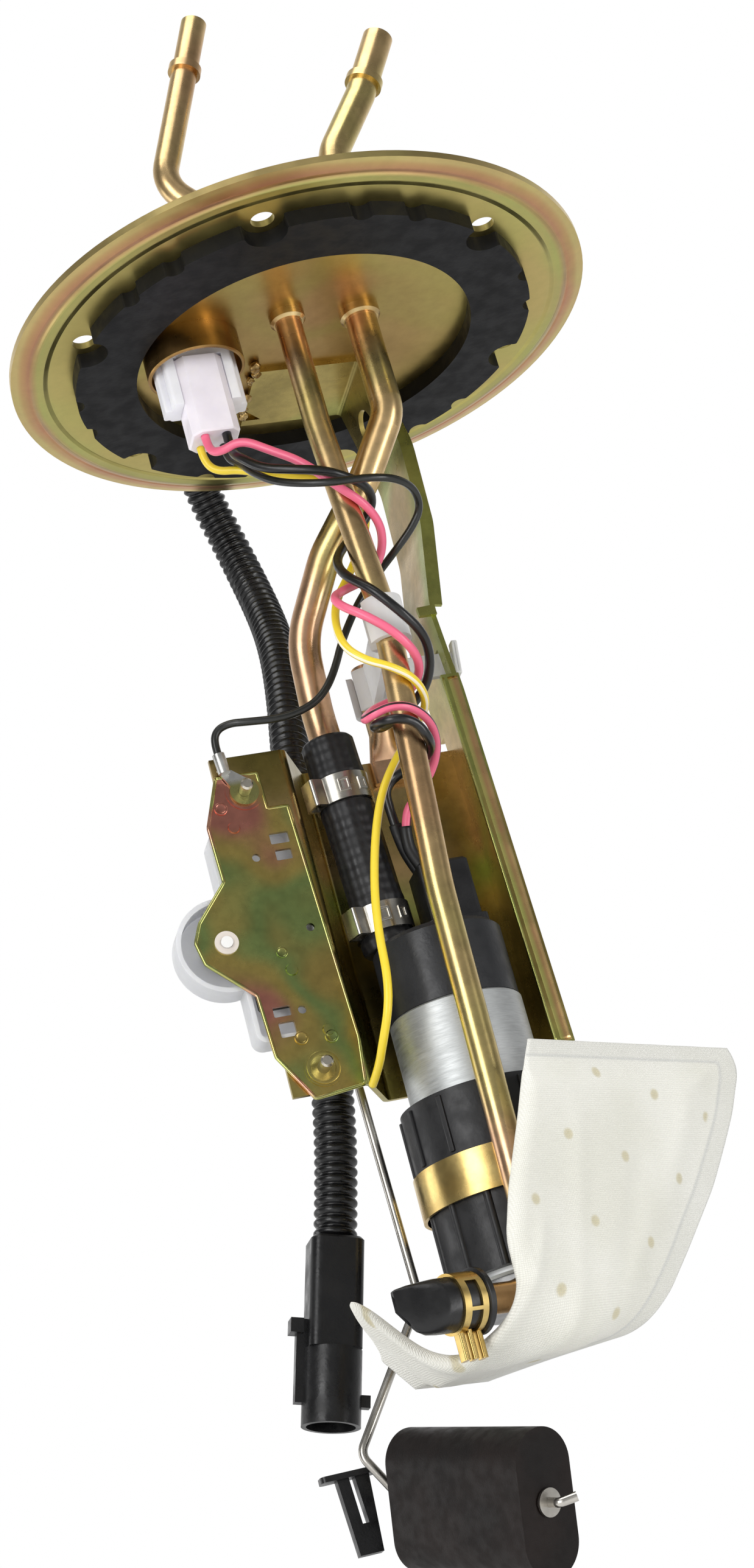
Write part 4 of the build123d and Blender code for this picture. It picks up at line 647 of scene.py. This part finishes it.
# ---- hose and clamps ----
# A short length of fabric-cured fuel hose joins the supply tube to the pump. Two stainless band clamps
# hold it, each with stamped windows in its band.
hose_top, hose_foot = Vector((-20.1, 18.0, -124.5)), Vector((-17.6, 18.0, -190.7))
hose_heading = (hose_foot - hose_top).normalized()
hose_run = (hose_foot - hose_top).length / 1000
clamp_places = (0.0170, hose_run - 0.0085)
hose_outer, end_round, end_drop = 0.0078, 0.0008, 0.0006
band_half, pinch, bulge, bulge_away, bulge_width = 0.0042, 0.0002, 0.00025, 0.0058, 0.0012


def hose_radius(run):
    """Rounded at both cut ends, pinched a little under each clamp and bulged beside it."""
    end = min(run, hose_run - run)
    radius = hose_outer - end_drop * max(0.0, 1 - end / end_round)
    for place in clamp_places:
        off = abs(run - place)
        radius += bulge * math.exp(-((off - bulge_away) / bulge_width) ** 2) - pinch * (off < band_half)
    return radius


# The mark of the wrapping cloth: two sets of strands that cross, nine to a turn.
strand_count, strand_climb = 9, 165
hose_rubber = black_moulding("hose_cover", (19, 19, 21), 0.44, 900)
hose_axes = axes_of(hose_rubber, "UV")
strands = []
for lean in (1, -1):
    turns = calculate(hose_rubber, "MULTIPLY", hose_axes["X"], strand_count * 2 * math.pi)
    climb = calculate(hose_rubber, "MULTIPLY", hose_axes["Y"], lean * strand_climb * 2 * math.pi)
    strands.append(calculate(hose_rubber, "SINE", calculate(hose_rubber, "ADD", turns, climb)))
cloth_mark = calculate(hose_rubber, "MULTIPLY", *strands)
emboss(hose_rubber, cloth_mark, 0.3, 0.0005)
tint(hose_rubber, ramp_of(hose_rubber, cloth_mark, [(0.2, 0.0), (0.9, 0.18)]), colour(58, 57, 56))
hose_steps = 160
hose_axis = [hose_top / 1000 + (hose_foot - hose_top) / 1000 * k / hose_steps for k in range(hose_steps + 1)]
hose = swept("hose", hose_axis, hose_radius, 56, hose_rubber)
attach(hose, "module")
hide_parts("fuel_hose")
clamp_steel = metal("clamp_steel", [(0.3, colour(188, 184, 174)), (0.7, colour(222, 218, 208))],
                    (0.2, 0.32), 140)
window_thick, window_reach = 0.9, 0.0086
window_border, window_depth, window_edge = 0.0008, 0.0006, 0.00018


def clamp_window(name, place, degrees, width, height):
    """A stamped window in a clamp's band, width by height in mm: a raised frame round a sunk slot."""
    bpy.ops.object.select_all(action="DESELECT")
    bpy.ops.mesh.primitive_cube_add(size=0.001)
    window = bpy.context.object
    window.name = name
    window.scale = (width, window_thick, height)
    bpy.ops.object.transform_apply(scale=True)
    sink_face(window, (0, -1, 0), window_border, window_depth, window_edge)
    outward = Vector((math.cos(math.radians(degrees)), math.sin(math.radians(degrees)), 0))
    centre = hose_top / 1000 + hose_heading * place + outward * window_reach
    up = -hose_heading
    sideways = up.cross(outward).normalized()
    turn = Matrix((sideways, -outward, up)).transposed().to_4x4()
    window.data.transform(Matrix.Translation(centre) @ turn)
    window.data.materials.append(clamp_steel)
    window.data.shade_flat()
    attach(window, "module")


for level, place in zip(("upper", "lower"), clamp_places):
    dress(level + "_hose_clamp", clamp_steel)
    for letter, degrees, width, height in (("a", 205, 4.4, 5.4), ("b", 262, 3.4, 4.2), ("c", 300, 3.0, 3.8)):
        clamp_window(level + "_clamp_window_" + letter, place, degrees, width, height)

# ---- check valve ----
# A black rubber duckbill pushed on to the return tube, held by a gold-plated spring clamp. Fuel opens
# its flat bill from inside and the bill closes by itself.
valve_start, valve_heading = Vector((-0.0310, -0.0210, -0.3000)), Vector((-0.947, -0.324, 0)).normalized()
valve_side = Vector((0, 0, 1)).cross(valve_heading).normalized()
# (mm from the collar, half the width, half the height, squareness): round, then a tall thin bill.
valve_rings = [(0.0, 8.2, 8.2, 2), (0.3, 8.6, 8.6, 2), (1.6, 8.6, 8.6, 2), (1.9, 8.2, 8.2, 2),
               (2.0, 7.0, 7.0, 2), (13.0, 7.0, 7.0, 2), (13.8, 6.6, 6.9, 2.3), (17.0, 4.6, 6.6, 2.8),
               (21.0, 2.2, 6.2, 4), (24.2, 1.1, 5.6, 6), (25.0, 0.6, 5.2, 6)]
valve_sides = 40
# The bill's lower corner is cut back from bill_start on, along bill_length.
bill_start, bill_length, bill_slant, bill_cut_back = 17.0, 8.0, 0.24, 3.4
valve_verts, valve_faces = [], []
for run, wide_half, tall_half, power in valve_rings:
    for k in range(valve_sides):
        angle = 2 * math.pi * k / valve_sides
        c, d = math.cos(angle), math.sin(angle)
        x = math.copysign(abs(c) ** (2 / power), c) * wide_half
        z = math.copysign(abs(d) ** (2 / power), d) * tall_half
        cut = bill_slant * max(0.0, -z) * max(0.0, run - bill_start) / bill_length
        valve_verts.append(valve_start + (valve_heading * (run - cut * bill_cut_back) + valve_side * x
                                          + Vector((0, 0, z))) / 1000)
for i in range(len(valve_rings) - 1):
    low, high = i * valve_sides, (i + 1) * valve_sides
    for k in range(valve_sides):
        n = (k + 1) % valve_sides
        valve_faces.append((low + k, low + n, high + n, high + k))
last_ring = (len(valve_rings) - 1) * valve_sides
valve_faces.append(tuple(reversed(range(valve_sides))))
valve_faces.append(tuple(range(last_ring, last_ring + valve_sides)))
valve_mesh = bpy.data.meshes.new("duckbill")
valve_mesh.from_pydata(valve_verts, [], valve_faces)
valve_mesh.materials.append(black_moulding("valve_rubber", (14, 14, 15), 0.32, 900))
duckbill = bpy.data.objects.new("duckbill", valve_mesh)
bpy.context.scene.collection.objects.link(duckbill)
bpy.ops.object.select_all(action="DESELECT")
duckbill.select_set(True)
bpy.context.view_layer.objects.active = duckbill
bpy.ops.object.mode_set(mode="EDIT")
bpy.ops.mesh.select_all(action="SELECT")
bpy.ops.mesh.normals_make_consistent(inside=False)
bpy.ops.object.mode_set(mode="OBJECT")
bpy.ops.object.shade_smooth_by_angle(angle=math.radians(35))
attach(duckbill, "module")
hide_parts("check_valve")
dress("valve_clamp", metal("clamp_gold", [(0.3, colour(190, 158, 88)), (0.7, colour(224, 196, 126))],
                           (0.22, 0.34), 120))

# ---- strainer sock ----
# A bag of woven white nylon, welded at its hem along three sides and folded over on its left side. It
# drops in front of the sleeve and folds back under the pump's inlet. Its sizes are in mm: across, from
# the corner beside the neck to the right, and run, down from the top along the cloth.
sock_corner = Vector((0.6, -30.0, -237.0))
sock_across = Vector((0.8819, 0.4714, 0.0))
sock_back = Vector((-0.4714, 0.8819, 0.0))
left_edge = [(0.0, -3.0), (5.0, -5.5), (21.5, -11.7), (39.6, -19.7), (52.0, -23.5), (62.0, -22.5),
             (71.0, -22.0), (84.0, -27.0), (92.0, -36.0), (102.0, -46.0), (108.0, -43.0), (118.0, -30.0)]
right_edge = [(0.0, 70.0), (3.5, 74.3), (9.9, 76.5), (21.8, 70.5), (42.3, 56.2), (58.8, 42.1), (72.1, 29.6),
              (84.0, 21.0), (100.0, 12.0), (118.0, 4.0)]
sock_turn_in, sock_bend, sock_floor_end = 66.4, 12.0, 118.0
sock_lean = math.atan2(11, 76)
# Soft ridges and hollows: (start, end, width, height), the ends as (across, run).
creases = [((8, 20), (-6, 78), 3.0, 0.45), ((30, 30), (6, 80), 3.5, -0.4),
           ((52, 14), (30, 66), 4.0, 0.35), ((-12, 48), (-26, 80), 2.4, 0.8)]
hem_thin, hem_wide_share, hem_tall_share = 0.12, 0.57, 0.95


def edge_at(table, place):
    """Read an edge's table of (run, across) with soft corners."""
    def plain(p):
        for (a, u), (b, v) in zip(table, table[1:]):
            if p <= b:
                return u + (v - u) * (p - a) / (b - a)
        return table[-1][1]
    return sum(plain(max(table[0][0], place + d)) for d in (-2.4, -1.2, 0, 1.2, 2.4)) / 5


def fold_profile(run):
    """How far back and down the bag's middle layer is at a run, and its lean: first down the front,
    then round the bend, then flat to the back."""
    if run < sock_turn_in:
        return run * math.sin(sock_lean), run * math.cos(sock_lean), sock_lean
    arc = min((run - sock_turn_in) / sock_bend, math.pi / 2 - sock_lean)
    turned = sock_lean + arc
    back = sock_turn_in * math.sin(sock_lean) + sock_bend * (math.cos(sock_lean) - math.cos(turned))
    down = sock_turn_in * math.cos(sock_lean) + sock_bend * (math.sin(turned) - math.sin(sock_lean))
    rest = run - sock_turn_in - sock_bend * arc
    return back + max(rest, 0.0), down, turned


def rise(distance, start, full):
    """A smooth step from 0 at start to 1 at full."""
    t = min(max((distance - start) / (full - start), 0.0), 1.0)
    return t * t * (3 - 2 * t)


def hem_distance(across, run, right, top):
    """How far in from the hem a place is. The hem is wider at the right side than at the top."""
    return min((right - across) * hem_wide_share, (run - top) * hem_tall_share)


def sock_half(across, run, left, right, top):
    """Half the bag's thickness: thin at the welded hem, full inside, round at the left fold."""
    hem = min(hem_distance(across, run, right, top), sock_floor_end - run)
    inner = 0.45 + 2.1 * rise(hem, 4.3, 13.0)
    fold = min((across - left) / 5.0, 1.0)
    return max(hem_thin, min(inner, 2.6 * math.sqrt(max(0.0, 1 - (1 - fold) ** 2))))


def crease(across, run, start, end, width, height):
    """The height that one crease adds at a place."""
    ax, ay = start
    bx, by = end
    length = math.hypot(bx - ax, by - ay)
    t = ((across - ax) * (bx - ax) + (run - ay) * (by - ay)) / length ** 2
    off = ((across - ax) * (by - ay) - (run - ay) * (bx - ax)) / length
    return height * math.exp(-(off / width) ** 2) * rise(t, -0.1, 0.15) * (1 - rise(t, 0.85, 1.1))


sock_columns, sock_rows = 110, 150
sock_verts, sock_uvs, sock_hem = [], [], []
for layer in (1, -1):
    for j in range(sock_rows + 1):
        for i in range(sock_columns + 1):
            u, v = i / sock_columns, j / sock_rows
            top = 0.7 + 2.8 * u
            run = top + (sock_floor_end - top) * v
            left, right = edge_at(left_edge, run), edge_at(right_edge, run)
            across = left + (right - left) * u
            back, down, lean = fold_profile(run)
            wave = 1.1 * noise.noise(Vector((across * 0.035, run * 0.02, 0.3))) * rise(run, 0, 30)
            for start, end, width, height in creases:
                wave += crease(across, run, start, end, width, height)
            # The toe lifts, and the folded corner is pulled back, clear of the valve's clamp.
            lift = 0.92 * max(0.0, -22.0 - across) * rise(run, 78, 100)
            back += 14.0 * rise(-across, 4.0, 18.0) * rise(run, 62.0, 80.0) * (1 - rise(run, 84.0, 118.0))
            out = layer * sock_half(across, run, left, right, top) + wave
            back -= out * math.cos(lean)
            down += out * math.sin(lean) - lift
            point = sock_corner + sock_across * across + sock_back * back - Vector((0, 0, down))
            sock_verts.append(point / 1000)
            sock_uvs.append((across, run))
            sock_hem.append(hem_distance(across, run, right, top))
wide = sock_columns + 1
per_layer = (sock_rows + 1) * wide
sock_faces = []
for j in range(sock_rows):
    for i in range(sock_columns):
        a = j * wide + i
        sock_faces.append((a, a + wide, a + wide + 1, a + 1))
        sock_faces.append((per_layer + a, per_layer + a + 1, per_layer + a + wide + 1, per_layer + a + wide))
# The two layers are joined all round: along the top, down the right, along the end and up the left.
outline = [i for i in range(wide)] + [j * wide + sock_columns for j in range(1, sock_rows + 1)]
outline += [sock_rows * wide + i for i in range(sock_columns - 1, -1, -1)]
outline += [j * wide for j in range(sock_rows - 1, 0, -1)]
for a, b in zip(outline, outline[1:] + outline[:1]):
    sock_faces.append((a, b, per_layer + b, per_layer + a))
sock_mesh = bpy.data.meshes.new("sock")
sock_mesh.from_pydata(sock_verts, [], sock_faces)
cloth_map = sock_mesh.uv_layers.new(name="cloth")
for loop in sock_mesh.loops:
    cloth_map.data[loop.index].uv = sock_uvs[loop.vertex_index]
hem_reach = sock_mesh.attributes.new("hem_reach", "FLOAT", "POINT")
for entry, reach_mm in zip(hem_reach.data, sock_hem):
    entry.value = reach_mm
sock_mesh.shade_smooth()
sock = bpy.data.objects.new("sock", sock_mesh)
bpy.context.scene.collection.objects.link(sock)

cloth = new_material("sock_weave")
cloth_axes = axes_of(cloth, "UV")
across_mm, run_mm = cloth_axes["X"], cloth_axes["Y"]


def blended(first, by, second, and_by):
    """first times one number plus second times another."""
    return calculate(cloth, "ADD", calculate(cloth, "MULTIPLY", first, by),
                     calculate(cloth, "MULTIPLY", second, and_by))


# Bond spots hold the layers together on a slanted lattice. Each step of it is (across, run) in mm.
side_step, down_step, first_spot, spot_reach = (20.0, 6.5), (-16.0, 16.5), (18.5, 10.1), 4.0
lattice = side_step[0] * down_step[1] - down_step[0] * side_step[1]
spot_x = calculate(cloth, "SUBTRACT", across_mm, first_spot[0])
spot_y = calculate(cloth, "SUBTRACT", run_mm, first_spot[1])
row = calculate(cloth, "DIVIDE", blended(spot_x, down_step[1], spot_y, -down_step[0]), lattice)
rank = calculate(cloth, "DIVIDE", blended(spot_y, side_step[0], spot_x, -side_step[1]), lattice)
row_rest = calculate(cloth, "SUBTRACT", row, calculate(cloth, "ROUND", row))
rank_rest = calculate(cloth, "SUBTRACT", rank, calculate(cloth, "ROUND", rank))
rest_x = blended(row_rest, side_step[0], rank_rest, down_step[0])
rest_y = blended(row_rest, side_step[1], rank_rest, down_step[1])
spot_away = calculate(cloth, "SQRT", calculate(cloth, "ADD", calculate(cloth, "POWER", rest_x, 2.0),
                                               calculate(cloth, "POWER", rest_y, 2.0)))
spot_away = calculate(cloth, "DIVIDE", spot_away, spot_reach)
shade_by(cloth, mottle(cloth, 35, 3), [(0.3, colour(232, 231, 220)), (0.7, colour(241, 240, 232))])
spot_share = ramp_of(cloth, spot_away, [(0.0, 0.9), (0.28, 0.8), (0.46, 0.0), (1.0, 0.0)])
# The hem is greyer, with a line where the weld ends. No spot lies on it.
inside_hem = cloth.node_tree.nodes.new("ShaderNodeAttribute")
inside_hem.attribute_name = "hem_reach"
hem_share = calculate(cloth, "DIVIDE", inside_hem.outputs["Fac"], 20.0)
off_hem = ramp_of(cloth, hem_share, [(0.28, 0.0), (0.32, 1.0)])
tint(cloth, calculate(cloth, "MULTIPLY", spot_share, off_hem), colour(206, 196, 158))
tint(cloth, ramp_of(cloth, hem_share, [(0.0, 0.35), (0.17, 0.30), (0.205, 0.9), (0.235, 0.0), (1.0, 0.0)]),
     colour(206, 207, 204))
# The threads cross the bag at 45 degrees, 0.75 mm apart.
weave_step = 2 * math.pi / (0.75 * math.sqrt(2))
warp, weft = [calculate(cloth, "MULTIPLY", calculate(cloth, way, across_mm, run_mm), weave_step)
              for way in ("ADD", "SUBTRACT")]
threads = calculate(cloth, "MULTIPLY", calculate(cloth, "SINE", warp), calculate(cloth, "SINE", weft))
tint(cloth, ramp_of(cloth, threads, [(0.0, 0.30), (0.5, 0.0)]), colour(190, 188, 178))
emboss(cloth, threads, 0.5, 0.0002)
emboss(cloth, calculate(cloth, "MINIMUM", spot_away, 0.5), 0.5, 0.0008)
socket_set(cloth, Roughness=0.75, Sheen_Weight=0.1, Subsurface_Weight=0.2,
           Subsurface_Radius=(0.003, 0.003, 0.003), Subsurface_Scale=1.0)
sock_mesh.materials.append(cloth)
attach(sock, "module")
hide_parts("strainer_sock")
dress("strainer_neck", black_moulding("neck_plastic", (38, 38, 40), 0.45))

# ---- studio ----
# A plain pale floor, four soft lamps and a white surround. Polished metal mirrors a surround of its
# own, light behind the camera and behind the module and dark at the sides, which gives it contrast.
floor_height, floor_size = -1.0, 8
bpy.ops.object.select_all(action="DESELECT")
bpy.ops.mesh.primitive_plane_add(size=floor_size, location=(0, 0, floor_height))
floor = bpy.context.object
floor.name = "floor"
floor_paint = new_material("floor_paint")
shade_by(floor_paint, mottle(floor_paint, 3, 2), [(0.3, colour(236, 236, 236)), (0.7, colour(242, 242, 242))])
socket_set(floor_paint, Roughness=0.8)
floor.data.materials.append(floor_paint)

world = bpy.data.worlds.new("studio")
bpy.context.scene.world = world
world.use_nodes = True
sky, sky_links = world.node_tree.nodes, world.node_tree.links
rays = sky.new("ShaderNodeLightPath")
# How far a ray heads the way that the camera looks: 0 is back to the camera and 1 is ahead of it.
toward = sky.new("ShaderNodeVectorMath")
toward.operation = "DOT_PRODUCT"
toward.inputs[1].default_value = (0.2724, 0.8910, 0.3633)
sky_links.new(sky.new("ShaderNodeTexCoord").outputs["Generated"], toward.inputs[0])
ahead = sky.new("ShaderNodeMapRange")
ahead.inputs["From Min"].default_value = -1.0
sky_links.new(toward.outputs["Value"], ahead.inputs["Value"])
mirrored = ramp_of(world, ahead.outputs["Result"], [(0.0, 0.42), (0.22, 0.24), (0.48, 0.14),
                                                    (0.74, 0.42), (0.97, 0.95)])
seen = calculate(world, "MAXIMUM", rays.outputs["Is Camera Ray"], rays.outputs["Is Transmission Ray"])
glossy = sky.new("ShaderNodeMix")
glossy.data_type = "RGBA"
glossy.inputs["A"].default_value = (0.66, 0.66, 0.66, 1)
sky_links.new(rays.outputs["Is Glossy Ray"], glossy.inputs["Factor"])
sky_links.new(mirrored, glossy.inputs["B"])
whole = sky.new("ShaderNodeMix")
whole.data_type = "RGBA"
whole.inputs["B"].default_value = (1, 1, 1, 1)
sky_links.new(seen, whole.inputs["Factor"])
sky_links.new(glossy.outputs["Result"], whole.inputs["A"])
sky_links.new(whole.outputs["Result"], sky["Background"].inputs["Color"])


def lamp(name, place, aim, size, watts):
    """A soft rectangular lamp, turned to face the point it is aimed at."""
    data = bpy.data.lights.new(name, "AREA")
    data.shape = "RECTANGLE"
    data.size, data.size_y = size
    data.energy = watts
    holder = bpy.data.objects.new(name, data)
    holder.location = place
    holder.rotation_euler = (Vector(aim) - Vector(place)).to_track_quat("-Z", "Y").to_euler()
    bpy.context.scene.collection.objects.link(holder)


lamp("key", (-1.1, -1.0, -0.1), (0, 0, -0.15), (0.7, 1.2), 10)
lamp("fill", (0.9, -1.1, -0.5), (0, 0, -0.15), (0.35, 1.0), 6)
lamp("rim", (-1.2, 0.7, -0.25), (0, 0, -0.2), (0.5, 1.0), 3)
lamp("top", (-0.2, -0.5, 1.1), (0, 0, 0), (1.0, 0.8), 7)

bpy.context.scene.view_settings.view_transform = "Standard"
